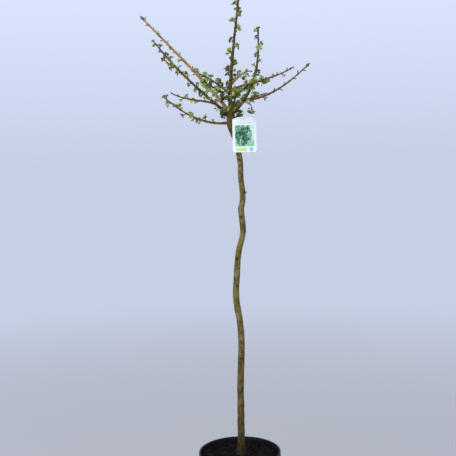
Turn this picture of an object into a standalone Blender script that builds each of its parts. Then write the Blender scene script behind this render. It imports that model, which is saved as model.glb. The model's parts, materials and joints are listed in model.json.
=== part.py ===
# A young dwarf ginkgo, grafted at the top of a bare stem, in a round nursery pot.
# Metres, +Z up, seen from -Y. The origin is the centre of the pot's flat underside.
# Every limb grows from a place on the limb that carries it, by an azimuth, a rise and a length.

import math
import random
from collections import namedtuple

import bmesh
import bpy
import numpy as np
from mathutils import Matrix, Vector

# Clearance that touching pieces keep
SEAT_GAP = 0.0003

# Pot: a tapered round container with a deep rim band
POT_HEIGHT = 0.252
POT_RIM_RADIUS = 0.1325
POT_BASE_RADIUS = 0.105
POT_WALL = 0.0018
POT_BAND_HEIGHT = 0.020
POT_BAND_STEP = 0.0035
POT_EDGE = 0.0012
TURN_STEPS = 36

# Potting mix, which fills the pot to a little below the rim
SOIL_BELOW_RIM = 0.015
SOIL_HEIGHT = POT_HEIGHT - SOIL_BELOW_RIM

# Stem, from the soil to the grafted head: height, sideways, depth and radius at each bend
TRUNK_FOOT = SOIL_HEIGHT + SEAT_GAP
TRUNK_BENDS = [
    (TRUNK_FOOT, 0.005, 0.008, 0.0150),
    (0.262, 0.005, 0.008, 0.0124),
    (0.300, 0.006, 0.007, 0.0113),
    (0.460, 0.007, 0.004, 0.0108),
    (0.610, 0.013, 0.000, 0.0103),
    (0.680, 0.009, -0.002, 0.0100),
    (0.755, -0.001, -0.003, 0.0100),
    (0.820, 0.002, 0.000, 0.0097),
    (0.900, 0.010, 0.003, 0.0095),
    (0.965, 0.025, 0.005, 0.0094),
    (1.035, 0.021, 0.006, 0.0091),
    (1.077, 0.027, 0.007, 0.0090),
    (1.140, 0.022, 0.007, 0.0088),
    (1.200, 0.020, 0.006, 0.0088),
    (1.262, 0.006, 0.004, 0.0090),
    (1.290, -0.001, 0.002, 0.0126),
    (1.318, -0.005, 0.001, 0.0134),
    (1.342, -0.006, 0.000, 0.0128),
    (1.354, -0.006, 0.000, 0.0085),
]
TRUNK_STEPS_PER_BEND = 2
TRUNK_SIDES = 10
TRUNK_CORE = 0.009

# How finely limbs are drawn: sides, the step along each kind, and the short step before a cut end
LIMB_SIDES = 8
LIMB_STEP = 0.020
STEM_SIDES = 4
STEM_STEP = 0.024
TWIG_STEP = 0.012
SQUARE_STEP = 0.0015
ROOM_STEP = 0.003
GROWTH_STEPS = 48
TAPER_POWER = 0.85

# Shoots: the limb that carries each one and the distance along it (the height, on the trunk),
# azimuth at base and tip, rise at base, middle and tip, in degrees, length, radius at base and tip,
# the bare share at the base that is a bough, the spacing of the spurs on the rest, and how leafy it is
Shoot = namedtuple("Shoot", "parent place azimuth rise length radii bare spacing leafy")
SHOOTS = {
    "leader": Shoot("trunk", 1.345, (28, 45), (91, 81, 82), 0.435, (0.0062, 0.0020), 0.25, 0.019, 1.0),
    "left_long": Shoot("trunk", 1.340, (189, 194), (53, 46, 46), 0.395, (0.0058, 0.0024), 0.28, 0.018, 0.45),
    "left_back": Shoot("trunk", 1.332, (150, 164), (36, 43, 52), 0.365, (0.0054, 0.0020), 0.25, 0.018, 0.8),
    "left_low": Shoot("trunk", 1.312, (173, 167), (-9, 24, 42), 0.235, (0.0044, 0.0018), 0.28, 0.018, 0.8),
    "right_tall": Shoot("trunk", 1.334, (-24, 60), (36, 73, 92), 0.290, (0.0056, 0.0020), 0.29, 0.018, 0.9),
    "back": Shoot("trunk", 1.340, (89, 85), (41, 40, 43), 0.300, (0.0044, 0.0018), 0.26, 0.019, 0.8),
    "front": Shoot("trunk", 1.336, (-83, -89), (10, 15, 16), 0.210, (0.0042, 0.0018), 0.26, 0.018, 0.9),
    "left_front": Shoot("left_back", 0.048, (240, 185), (24, 5, 29), 0.180, (0.0038, 0.0017), 0.30, 0.018, 0.6),
    "front_left": Shoot("left_long", 0.044, (281, 233), (33, 4, 23), 0.205, (0.0036, 0.0017), 0.26, 0.018, 1.0),
    "front_right": Shoot("leader", 0.036, (-53, -72), (28, 10, -7), 0.215, (0.0036, 0.0017), 0.26, 0.018, 0.9),
    "back_left": Shoot("leader", 0.052, (135, 113), (40, 22, 19), 0.230, (0.0036, 0.0017), 0.26, 0.019, 0.8),
    "right_high": Shoot("leader", 0.067, (-14, -30), (19, 12, 24), 0.210, (0.0038, 0.0017), 0.26, 0.018, 0.6),
    "back_right": Shoot("leader", 0.081, (65, 64), (28, 23, 4), 0.170, (0.0034, 0.0017), 0.26, 0.018, 0.7),
    "back_low": Shoot("right_tall", 0.031, (66, 59), (31, 13, 13), 0.225, (0.0036, 0.0017), 0.26, 0.019, 0.7),
    "right_low": Shoot("right_tall", 0.066, (29, -6), (-1, 30, 42), 0.245, (0.0040, 0.0018), 0.30, 0.018, 0.35),
}
# Twigs with no bare bough of their own: one is part of its parent's spray, the others are seated on a limb
SIDE_TWIGS = {
    "left_back": Shoot("left_back", 0.247, (231, 228), (5, 24, 20), 0.070, (0.0022, 0.0015), 0.0, 0.017, 0.7),
}
SMALL_SPRAYS = {
    "right_drooping": Shoot("right_tall", 0.058, (-42, -70), (-20, -25, -85), 0.060, (0.0018, 0.0013), 0.0, 0.020, 0.8),
    "head_front": Shoot("leader", 0.020, (-115, -110), (50, 45, 40), 0.030, (0.0024, 0.0018), 0.0, 0.006, 1.0),
    "head_left": Shoot("trunk", 1.330, (210, 215), (0, 20, 45), 0.034, (0.0026, 0.0020), 0.0, 0.006, 1.0),
    "head_right": Shoot("trunk", 1.322, (15, 10), (15, 30, 50), 0.032, (0.0026, 0.0020), 0.0, 0.006, 1.0),
    "head_back": Shoot("trunk", 1.322, (125, 130), (35, 35, 35), 0.032, (0.0026, 0.0020), 0.0, 0.006, 1.0),
}

# Spurs and leaves: each spur carries a tuft of small fans
GOLDEN_TURN = math.radians(137.5)
TURN_WANDER = 0.3
FIRST_SPUR = 0.6
SPACING_WANDER = 0.2
VIGOUR_RANGE = (0.65, 1.15)
FREE_OF_BOUGH = 0.004
FREE_OF_SEAT = 0.018
FREE_OF_TIP = 0.004
SPUR_TILT = math.radians(58)
SPUR_LENGTH = (0.010, 0.006)
SPUR_RADIUS = 0.0019
SPUR_TAPER = 0.85
LEAF_LENGTH = 0.0165
LEAF_WIDTH = 0.0150
LEAF_THICKNESS = 0.0013
LEAF_ROOT_DEPTH = 0.0030
LEAF_WING = 0.24
LEAF_SPREAD = math.radians(52)
LEAF_SIZES = (0.85, 1.1)
LEAVES_ON_FULL_SPUR = 3
LEAFY_TIP = 0.75
BUD_SHARE = 0.16
SPACE_MARGIN = 0.0012
SIDE_TWIG_SEED = 50
TIP_SEED = 99

# Hang tag: a rounded card with an arched top, hung by a thin cord from the right-hand limb
TAG_WIDTH = 0.074
TAG_HEIGHT = 0.110
TAG_ARCH = 0.005
TAG_CORNER = 0.007
TAG_THICKNESS = 0.0008
TAG_TOP = (0.036, -0.0145, 1.328)
TAG_HOLE_BELOW_TOP = 0.0065
TAG_HOLE_RADIUS = 0.0022
TAG_LIMB_PLACE = 0.052
TAG_ROOM_STEP = 0.006
CORD_RADIUS = 0.0006
CORD_CLEARANCE = 0.0005
CORD_BEND_RADIUS = 0.0030


# Start from an empty scene

for old in list(bpy.data.objects):
    bpy.data.objects.remove(old, do_unlink=True)

plant = bpy.data.collections.new("dwarf_ginkgo")
cutters = bpy.data.collections.new("cutters")
for group in (plant, cutters):
    bpy.context.scene.collection.children.link(group)


# Materials

def material(name, colour, roughness):
    made = bpy.data.materials.new(name)
    made.use_nodes = True
    shader = made.node_tree.nodes["Principled BSDF"]
    shader.inputs["Base Color"].default_value = (*colour, 1.0)
    shader.inputs["Roughness"].default_value = roughness
    shader.inputs["Metallic"].default_value = 0.0
    return made


BARK = material("bark", (0.16, 0.12, 0.06), 0.85)
YOUNG_BARK = material("young_bark", (0.20, 0.10, 0.045), 0.7)
FOLIAGE = material("foliage", (0.09, 0.20, 0.02), 0.55)
POT_PLASTIC = material("pot_plastic", (0.012, 0.012, 0.012), 0.5)
POTTING_MIX = material("potting_mix", (0.02, 0.014, 0.009), 0.95)
TAG_CARD = material("tag_card", (0.86, 0.88, 0.88), 0.35)
TAG_CORD = material("tag_cord", (0.75, 0.75, 0.72), 0.5)


# Meshes and objects

def add_object(name, mesh, paint, group=plant):
    made = bpy.data.objects.new(name, mesh)
    if paint is not None:
        mesh.materials.append(paint)
    group.objects.link(made)
    return made


def smooth(made, angle=40):
    made.data.shade_smooth()
    made.data.set_sharp_from_angle(angle=math.radians(angle))


def evaluated_mesh(made, merge=0.000001):
    """The mesh of an object as its curve or modifiers leave it, with its seams welded."""
    bpy.context.view_layer.update()
    seen = made.evaluated_get(bpy.context.evaluated_depsgraph_get())
    mesh = bpy.data.meshes.new_from_object(seen)
    work = bmesh.new()
    work.from_mesh(mesh)
    bmesh.ops.remove_doubles(work, verts=work.verts, dist=merge)
    work.to_mesh(mesh)
    work.free()
    return mesh


def tube(name, points, radii, sides, paint, group=plant):
    """A round limb through the points, as a mesh with welded caps."""
    shape = bpy.data.curves.new(name, "CURVE")
    shape.dimensions = "3D"
    shape.bevel_depth = max(radii)
    shape.bevel_resolution = (sides - 4) // 2
    shape.use_fill_caps = True
    line = shape.splines.new("POLY")
    line.points.add(len(points) - 1)
    for spot, place, radius in zip(line.points, points, radii):
        spot.co = (*place, 1.0)
        spot.radius = radius / shape.bevel_depth
    guide = bpy.data.objects.new(name + "_line", shape)
    group.objects.link(guide)
    mesh = evaluated_mesh(guide)
    bpy.data.objects.remove(guide, do_unlink=True)
    bpy.data.curves.remove(shape)
    mesh.name = name
    made = add_object(name, mesh, paint, group)
    return made


def turned(name, profile, paint):
    """A solid turned about Z from a profile that runs down its outer side."""
    work = bmesh.new()
    spots = [work.verts.new((radius, 0.0, height)) for radius, height in profile]
    for upper, lower in zip(spots, spots[1:]):
        work.edges.new((upper, lower))
    mesh = bpy.data.meshes.new(name)
    work.to_mesh(mesh)
    work.free()
    made = add_object(name, mesh, paint)
    turn = made.modifiers.new("turn", "SCREW")
    turn.angle = 2 * math.pi
    turn.steps = TURN_STEPS
    turn.render_steps = TURN_STEPS
    turn.use_merge_vertices = True
    turn.merge_threshold = 0.00001
    return made


def cut_by(made, cutter):
    cut = made.modifiers.new("seat", "BOOLEAN")
    cut.operation = "DIFFERENCE"
    cut.solver = "EXACT"
    cut.object = cutter


def as_cutter(made):
    made.hide_render = True
    made.display_type = "WIRE"
    return made


# Lines that the limbs follow

def rounded_route(rows, steps):
    """A smooth line of rows through the given ones, with so many steps between each two."""
    rows = [Vector(row) for row in rows]
    ends = [rows[0] * 2 - rows[1], *rows, rows[-1] * 2 - rows[-2]]
    route = []
    for before, start, stop, after in zip(ends, ends[1:], ends[2:], ends[3:]):
        for step in range(steps):
            t = step / steps
            slope_in = (stop - before) / 2
            slope_out = (after - start) / 2
            route.append(
                start * (2 * t**3 - 3 * t**2 + 1)
                + slope_in * (t**3 - 2 * t**2 + t)
                + stop * (-2 * t**3 + 3 * t**2)
                + slope_out * (t**3 - t**2)
            )
    return route + [rows[-1]]


def heading(azimuth, rise):
    return Vector((
        math.cos(rise) * math.cos(azimuth),
        math.cos(rise) * math.sin(azimuth),
        math.sin(rise),
    ))


def grown_line(start, shoot):
    """The line of a shoot: its azimuth turns evenly, its rise bends through three values."""
    line = [Vector(start)]
    low, middle, high = shoot.rise
    for step in range(GROWTH_STEPS):
        t = (step + 0.5) / GROWTH_STEPS
        azimuth = shoot.azimuth[0] + (shoot.azimuth[1] - shoot.azimuth[0]) * t
        rise = (1 - t) * (1 - 2 * t) * low + 4 * t * (1 - t) * middle + t * (2 * t - 1) * high
        ahead = heading(math.radians(azimuth), math.radians(rise))
        line.append(line[-1] + ahead * (shoot.length / GROWTH_STEPS))
    return line


def place_on(line, distance):
    """The point so far along a line, and the line's direction there."""
    for start, stop in zip(line, line[1:]):
        span = (stop - start).length
        if distance <= span or stop is line[-1]:
            ahead = (stop - start).normalized()
            return start + ahead * min(distance, span), ahead
        distance -= span


def spaced(first, last, step):
    """Even distances between two along a line."""
    count = max(2, round((last - first) / step))
    return [first + (last - first) * i / count for i in range(count + 1)]


def sampled(line, distances):
    return [place_on(line, distance)[0] for distance in distances]


def radius_at(shoot, distance):
    share = min(1.0, max(0.0, distance / shoot.length))
    base, tip = shoot.radii
    return base + (tip - base) * share**TAPER_POWER


def limb(line, shoot, distances):
    """Points and radii of a limb at distances along its line."""
    return sampled(line, distances), [radius_at(shoot, distance) for distance in distances]


TRUNK_ROUTE = rounded_route(
    [(sideways, depth, height, radius) for height, sideways, depth, radius in TRUNK_BENDS],
    TRUNK_STEPS_PER_BEND,
)
TRUNK_LINE = [Vector(row[:3]) for row in TRUNK_ROUTE]
TRUNK_RADII = [row[3] for row in TRUNK_ROUTE]


def trunk_place(height):
    for start, stop in zip(TRUNK_LINE, TRUNK_LINE[1:]):
        if start.z <= height <= stop.z:
            return start.lerp(stop, (height - start.z) / (stop.z - start.z))
    return TRUNK_LINE[-1]


lines = {}


def line_of(name, shoot):
    if shoot.parent == "trunk":
        start = trunk_place(shoot.place)
    else:
        start = place_on(lines[shoot.parent], shoot.place)[0]
    return grown_line(start, shoot)


for shoot_name, shoot_sizes in SHOOTS.items():
    lines[shoot_name] = line_of(shoot_name, shoot_sizes)


# Pot and potting mix

def outer_radius(height):
    """Radius of the pot's wall under its rim band."""
    top = POT_RIM_RADIUS - POT_BAND_STEP
    return POT_BASE_RADIUS + (top - POT_BASE_RADIUS) * height / POT_HEIGHT


def make_pot():
    band_foot = POT_HEIGHT - POT_BAND_HEIGHT
    inner_top = outer_radius(POT_HEIGHT) - POT_WALL
    profile = [
        (0.0, POT_WALL),
        (outer_radius(0.0) - POT_WALL, POT_WALL),
        (inner_top, POT_HEIGHT - POT_EDGE),
        (inner_top + POT_EDGE, POT_HEIGHT),
        (POT_RIM_RADIUS - POT_EDGE, POT_HEIGHT),
        (POT_RIM_RADIUS, POT_HEIGHT - POT_EDGE),
        (POT_RIM_RADIUS, band_foot),
        (outer_radius(band_foot), band_foot - POT_EDGE),
        (POT_BASE_RADIUS + POT_EDGE, 3 * POT_EDGE),
        (POT_BASE_RADIUS, 0.0),
        (0.0, 0.0),
    ]
    smooth(turned("pot", profile, POT_PLASTIC), 30)


def make_root_ball():
    foot = POT_WALL + SEAT_GAP

    def inside(height):
        share = (height - POT_WALL) / (POT_HEIGHT - POT_EDGE - POT_WALL)
        low = outer_radius(0.0) - POT_WALL
        high = outer_radius(POT_HEIGHT) - POT_WALL
        return low + (high - low) * share - SEAT_GAP

    profile = [(0.0, SOIL_HEIGHT), (inside(SOIL_HEIGHT), SOIL_HEIGHT), (inside(foot), foot), (0.0, foot)]
    smooth(turned("root_ball", profile, POTTING_MIX), 30)


# Trunk and boughs

inflated = {}


def make_trunk():
    smooth(tube("trunk", TRUNK_LINE, TRUNK_RADII, TRUNK_SIDES, BARK))
    top = TRUNK_LINE[-1] + Vector((0, 0, SEAT_GAP))
    wide = [radius + SEAT_GAP for radius in TRUNK_RADII]
    inflated["trunk"] = as_cutter(
        tube("trunk_seat", [*TRUNK_LINE[:-1], top], wide, TRUNK_SIDES, None, cutters)
    )


def bough_sizes(name, step=LIMB_STEP):
    """Points and radii of a bough, with a last short step so that its cut end is square to its line."""
    shoot = SHOOTS[name]
    end = shoot.length * shoot.bare
    distances = spaced(0.0, end - SQUARE_STEP, step) + [end]
    return limb(lines[name], shoot, distances)


def outside_trunk(point):
    height = min(max(point.z, TRUNK_FOOT), TRUNK_LINE[-1].z)
    return (point - trunk_place(height)).length > TRUNK_CORE


def crowded(name, other):
    """Whether two boughs come so near outside the trunk that one has to be cut by the other."""
    points, radii = bough_sizes(name, ROOM_STEP)
    others, girths = bough_sizes(other, ROOM_STEP)
    near = max(radii) + max(girths) + SEAT_GAP
    return any((p - q).length < near for p in points if outside_trunk(p) for q in others)


def make_boughs():
    done = []
    for name, shoot in SHOOTS.items():
        points, radii = bough_sizes(name)
        bough = tube("bough_" + name, points, radii, LIMB_SIDES, YOUNG_BARK)
        cut_by(bough, inflated["trunk"])
        for other in done:
            if other == shoot.parent or crowded(name, other):
                cut_by(bough, inflated[other])
        smooth(bough)
        wide = [radius + SEAT_GAP for radius in radii]
        inflated[name] = as_cutter(tube(name + "_seat", points, wide, LIMB_SIDES, None, cutters))
        done.append(name)


# Room that each limb and each spray takes, as points with a radius

room = {}


def take_room(owner, points, radii):
    rows = np.array([(*point, radius) for point, radius in zip(points, radii)])
    room[owner] = np.vstack([room[owner], rows]) if owner in room else rows


def share_out_room():
    heights = spaced(TRUNK_FOOT, TRUNK_LINE[-1].z, ROOM_STEP)
    knots = [point.z for point in TRUNK_LINE]
    take_room("trunk", [trunk_place(height) for height in heights], np.interp(heights, knots, TRUNK_RADII))
    for name, shoot in SHOOTS.items():
        split = shoot.length * shoot.bare
        take_room("bough_" + name, *limb(lines[name], shoot, spaced(0.0, split, ROOM_STEP)))
        take_room("spray_" + name, *limb(lines[name], shoot, spaced(split, shoot.length, ROOM_STEP)))
    for name, shoot in [*SIDE_TWIGS.items(), *SMALL_SPRAYS.items()]:
        take_room("spray_" + name, *limb(line_of(name, shoot), shoot, spaced(0.0, shoot.length, ROOM_STEP)))
    middle = Vector(TAG_TOP)
    card = [
        middle + Vector((sideways, 0, -down))
        for sideways in spaced(-TAG_WIDTH / 2, TAG_WIDTH / 2, TAG_ROOM_STEP)
        for down in spaced(0.0, TAG_HEIGHT, TAG_ROOM_STEP)
    ]
    take_room("tag", card, [TAG_ROOM_STEP * 0.7] * len(card))


def keeps_its_room(points, owner):
    """Whether the points lie nearer their own spray's line than any other's, and clear of all limbs."""
    spots = np.array([tuple(point) for point in points])
    own = np.min(np.linalg.norm(spots[:, None] - room[owner][None, :, :3], axis=2), axis=1)
    for other, rows in room.items():
        if other == owner:
            continue
        gaps = np.linalg.norm(spots[:, None] - rows[None, :, :3], axis=2)
        if np.any(gaps - rows[None, :, 3] < SPACE_MARGIN):
            return False
        if other.startswith("spray_") and np.any(np.min(gaps, axis=1) < own + SPACE_MARGIN):
            return False
    return True


# Sprays: a stem with spurs, each with its tuft of fans, joined into one solid

def turned_to(direction, roll=0.0):
    """A rotation that sends +Z along the direction."""
    return (Vector(direction).to_track_quat("Z", "Y").to_matrix() @ Matrix.Rotation(roll, 3, "Z")).to_4x4()


def spur_places(shoot, first, seed):
    """Distance, outward direction and vigour of each spur, in the order that they grow."""
    draw = random.Random(seed)
    places = []
    turn = draw.uniform(0, 2 * math.pi)
    distance = first + shoot.spacing * FIRST_SPUR
    while distance < shoot.length - FREE_OF_TIP:
        vigour = shoot.leafy * draw.uniform(*VIGOUR_RANGE)
        places.append((distance, turn, vigour))
        turn += GOLDEN_TURN + draw.uniform(-TURN_WANDER, TURN_WANDER)
        distance += shoot.spacing * draw.uniform(1 - SPACING_WANDER, 1 + SPACING_WANDER)
    return places


def outward(ahead, turn):
    """A direction at the spur's tilt from the shoot, turned so far round it."""
    frame = turned_to(ahead).to_3x3()
    side = frame @ Vector((math.cos(turn), math.sin(turn), 0))
    return (ahead * math.cos(SPUR_TILT) + side * math.sin(SPUR_TILT)).normalized()


def add_spur(root, direction, length, radius, group):
    work = bmesh.new()
    middle = Matrix.Translation(root + direction * length / 2) @ turned_to(direction)
    bmesh.ops.create_cone(
        work, cap_ends=True, segments=3, radius1=radius, radius2=radius * SPUR_TAPER, depth=length, matrix=middle
    )
    mesh = bpy.data.meshes.new("spur")
    work.to_mesh(mesh)
    work.free()
    add_object("spur", mesh, None, group)


def leaf_corners(size):
    """Root, wings, tip and the two middles of a fan that lies along +Y."""
    work = bmesh.new()
    bmesh.ops.create_uvsphere(work, u_segments=4, v_segments=2, radius=1.0)
    for spot in work.verts:
        wing = abs(spot.co.x) > 0.5
        spot.co = Vector((
            spot.co.x * LEAF_WIDTH * size / 2,
            LEAF_LENGTH * size * (0.5 + spot.co.y / 2 + (LEAF_WING if wing else 0.0)),
            spot.co.z * LEAF_THICKNESS / 2,
        ))
    return work


def add_leaf(root, along, face, size, owner, group):
    """One fan from the root, unless it would leave its spray's room."""
    side = along.cross(face).normalized()
    up = side.cross(along).normalized()
    frame = Matrix((side, along, up)).transposed().to_4x4()
    work = leaf_corners(size)
    bmesh.ops.transform(work, matrix=Matrix.Translation(root) @ frame, verts=work.verts)
    outer = [spot.co for spot in work.verts if (spot.co - root).length > LEAF_ROOT_DEPTH * 1.5]
    middles = [(root + spot) / 2 for spot in outer]
    if keeps_its_room(outer + middles, owner):
        mesh = bpy.data.meshes.new("leaf")
        work.to_mesh(mesh)
        add_object("leaf", mesh, None, group)
    work.free()


def add_tuft(root, direction, vigour, seed, owner, group):
    """Fans spread round a spur's end: a strong spur has three, a weak one is only a bud."""
    draw = random.Random(seed)
    count = min(LEAVES_ON_FULL_SPUR, int(vigour * LEAVES_ON_FULL_SPUR + 0.6))
    start = draw.uniform(0, 2 * math.pi)
    frame = turned_to(direction).to_3x3()
    for leaf in range(count):
        turn = start + 2 * math.pi * leaf / count + draw.uniform(-TURN_WANDER, TURN_WANDER)
        side = frame @ Vector((math.cos(turn), math.sin(turn), 0))
        along = (direction * math.cos(LEAF_SPREAD) + side * math.sin(LEAF_SPREAD)).normalized()
        size = draw.uniform(*LEAF_SIZES) * (0.75 + 0.25 * min(1.0, vigour))
        add_leaf(root, along, direction - side * 0.4, size, owner, group)


def grow_spurs(shoot, line, first, seed, owner, group):
    for number, (distance, turn, vigour) in enumerate(spur_places(shoot, first, seed)):
        root, ahead = place_on(line, distance)
        share = distance / shoot.length
        direction = outward(ahead, turn)
        length = SPUR_LENGTH[0] + (SPUR_LENGTH[1] - SPUR_LENGTH[0]) * share
        end = root + direction * length
        if not keeps_its_room([end], owner):
            continue
        add_spur(root, direction, length, SPUR_RADIUS, group)
        if share < 1 - BUD_SHARE or shoot.leafy > LEAFY_TIP:
            add_tuft(end - direction * LEAF_ROOT_DEPTH, direction, vigour, seed * 100 + number, owner, group)
    tip, ahead = place_on(line, shoot.length)
    add_tuft(tip - ahead * LEAF_ROOT_DEPTH, ahead, shoot.leafy, seed * 100 + TIP_SEED, owner, group)


def only_outer_shell(mesh):
    """Keep the largest closed shell: sealed hollows are filled and loose scraps dropped."""
    work = bmesh.new()
    work.from_mesh(mesh)
    left = set(work.faces)
    shells = []
    while left:
        shell = set()
        edge_of_shell = [left.pop()]
        while edge_of_shell:
            face = edge_of_shell.pop()
            shell.add(face)
            for edge in face.edges:
                for near in edge.link_faces:
                    if near in left:
                        left.discard(near)
                        edge_of_shell.append(near)
        shells.append(shell)
    keep = max(shells, key=lambda shell: sum(face.calc_area() for face in shell))
    stray = [face for shell in shells if shell is not keep for face in shell]
    if stray:
        bmesh.ops.delete(work, geom=stray, context="FACES")
        loose = [spot for spot in work.verts if not spot.link_faces]
        bmesh.ops.delete(work, geom=loose, context="VERTS")
    work.to_mesh(mesh)
    work.free()


def join_spray(stem, group):
    """One union of the stem with all its spurs and leaves, applied."""
    join = stem.modifiers.new("join", "BOOLEAN")
    join.operation = "UNION"
    join.solver = "EXACT"
    join.operand_type = "COLLECTION"
    join.collection = group
    mesh = evaluated_mesh(stem, merge=0.00001)
    stem.modifiers.clear()
    old = stem.data
    stem.data = mesh
    bpy.data.meshes.remove(old)
    for part in list(group.objects):
        bpy.data.objects.remove(part, do_unlink=True)
    bpy.data.collections.remove(group)
    only_outer_shell(stem.data)


def make_spray(name, shoot, seed):
    owner = "spray_" + name
    split = shoot.length * shoot.bare
    seated = shoot.bare == 0.0
    line = line_of(name, shoot)
    if seated:
        stem = tube(owner, *limb(line, shoot, spaced(0.0, shoot.length, TWIG_STEP)), STEM_SIDES, FOLIAGE)
        cut_by(stem, inflated[shoot.parent])
    else:
        start = split + SEAT_GAP
        distances = [start] + spaced(start + SQUARE_STEP, shoot.length, STEM_STEP)
        stem = tube(owner, *limb(line, shoot, distances), STEM_SIDES, FOLIAGE)
    group = bpy.data.collections.new(owner + "_pieces")
    bpy.context.scene.collection.children.link(group)
    first = split + (FREE_OF_SEAT if seated else FREE_OF_BOUGH)
    grow_spurs(shoot, line, first, seed, owner, group)
    if name in SIDE_TWIGS:
        twig = SIDE_TWIGS[name]
        twig_line = line_of(name, twig)
        tube("side_twig", *limb(twig_line, twig, spaced(0.0, twig.length, TWIG_STEP)), STEM_SIDES, None, group)
        grow_spurs(twig, twig_line, FREE_OF_BOUGH, seed + SIDE_TWIG_SEED, owner, group)
    join_spray(stem, group)


def make_sprays():
    for number, (name, shoot) in enumerate([*SHOOTS.items(), *SMALL_SPRAYS.items()]):
        make_spray(name, shoot, number + 1)


# Hang tag and its cord

def arc(centre, radius, start, stop, steps):
    for i in range(steps + 1):
        angle = math.radians(start + (stop - start) * i / steps)
        yield centre[0] + radius * math.cos(angle), centre[1] + radius * math.sin(angle)


def tag_outline():
    """The card's outline, with its arched top's middle at (0, 0)."""
    half = TAG_WIDTH / 2
    inner = half - TAG_CORNER
    foot = TAG_CORNER - TAG_HEIGHT
    shoulder = -TAG_ARCH - TAG_CORNER
    bow = (inner**2 + TAG_ARCH**2) / (2 * TAG_ARCH)
    reach = math.degrees(math.asin(inner / bow))
    yield from arc((-inner, foot), TAG_CORNER, 180, 270, 4)
    yield from arc((inner, foot), TAG_CORNER, 270, 360, 4)
    yield from arc((inner, shoulder), TAG_CORNER, 0, 90 - reach, 4)
    yield from list(arc((0, -bow), bow, 90 - reach, 90 + reach, 8))[1:-1]
    yield from arc((-inner, shoulder), TAG_CORNER, 90 + reach, 180, 4)


def flat_spline(shape, spots):
    line = shape.splines.new("POLY")
    line.points.add(len(spots) - 1)
    for spot, (sideways, height) in zip(line.points, spots):
        spot.co = (sideways, height, 0.0, 1.0)
    line.use_cyclic_u = True


def make_tag():
    shape = bpy.data.curves.new("hang_tag", "CURVE")
    shape.dimensions = "2D"
    shape.fill_mode = "BOTH"
    shape.extrude = TAG_THICKNESS / 2
    flat_spline(shape, list(tag_outline()))
    flat_spline(shape, list(arc((0, -TAG_HOLE_BELOW_TOP), TAG_HOLE_RADIUS, 0, 330, 11)))
    guide = bpy.data.objects.new("hang_tag_outline", shape)
    plant.objects.link(guide)
    mesh = evaluated_mesh(guide)
    bpy.data.objects.remove(guide, do_unlink=True)
    bpy.data.curves.remove(shape)
    mesh.name = "hang_tag"
    made = add_object("hang_tag", mesh, TAG_CARD)
    made.location = TAG_TOP
    made.rotation_euler = (math.radians(90), 0, 0)


def make_cord():
    """A closed loop over the limb and through the tag's hole, leaning forward as the tag does."""
    shoot = SHOOTS["right_tall"]
    limb, ahead = place_on(lines["right_tall"], TAG_LIMB_PLACE)
    wide = radius_at(shoot, TAG_LIMB_PLACE) + SEAT_GAP + CORD_CLEARANCE + CORD_RADIUS
    high = wide / math.cos(math.asin(abs(ahead.z)))
    hole = Vector(TAG_TOP) - Vector((0, 0, TAG_HOLE_BELOW_TOP))
    low = hole + Vector((0, 0, TAG_HOLE_RADIUS - CORD_RADIUS - SEAT_GAP + CORD_BEND_RADIUS))
    points = []
    for y, z in arc((0, 0), 1.0, 0, 180, 12):
        points.append(limb + Vector((0, y * wide, z * high)))
    for y, z in arc((0, 0), 1.0, 180, 360, 10):
        points.append(low + Vector((0, y * CORD_BEND_RADIUS, z * CORD_BEND_RADIUS)))
    shape = bpy.data.curves.new("tag_cord", "CURVE")
    shape.dimensions = "3D"
    shape.bevel_depth = CORD_RADIUS
    shape.bevel_resolution = 1
    line = shape.splines.new("POLY")
    line.points.add(len(points) - 1)
    for spot, place in zip(line.points, points):
        spot.co = (*place, 1.0)
    line.use_cyclic_u = True
    guide = bpy.data.objects.new("tag_cord_line", shape)
    plant.objects.link(guide)
    mesh = evaluated_mesh(guide)
    bpy.data.objects.remove(guide, do_unlink=True)
    bpy.data.curves.remove(shape)
    mesh.name = "tag_cord"
    smooth(add_object("tag_cord", mesh, TAG_CORD))


make_pot()
make_root_ball()
make_trunk()
make_boughs()
share_out_room()
make_sprays()
make_tag()
make_cord()
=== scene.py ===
import json
import math
import random
from collections import namedtuple

import bmesh
import bpy
import numpy as np
from mathutils import Matrix, Vector, noise

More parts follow.
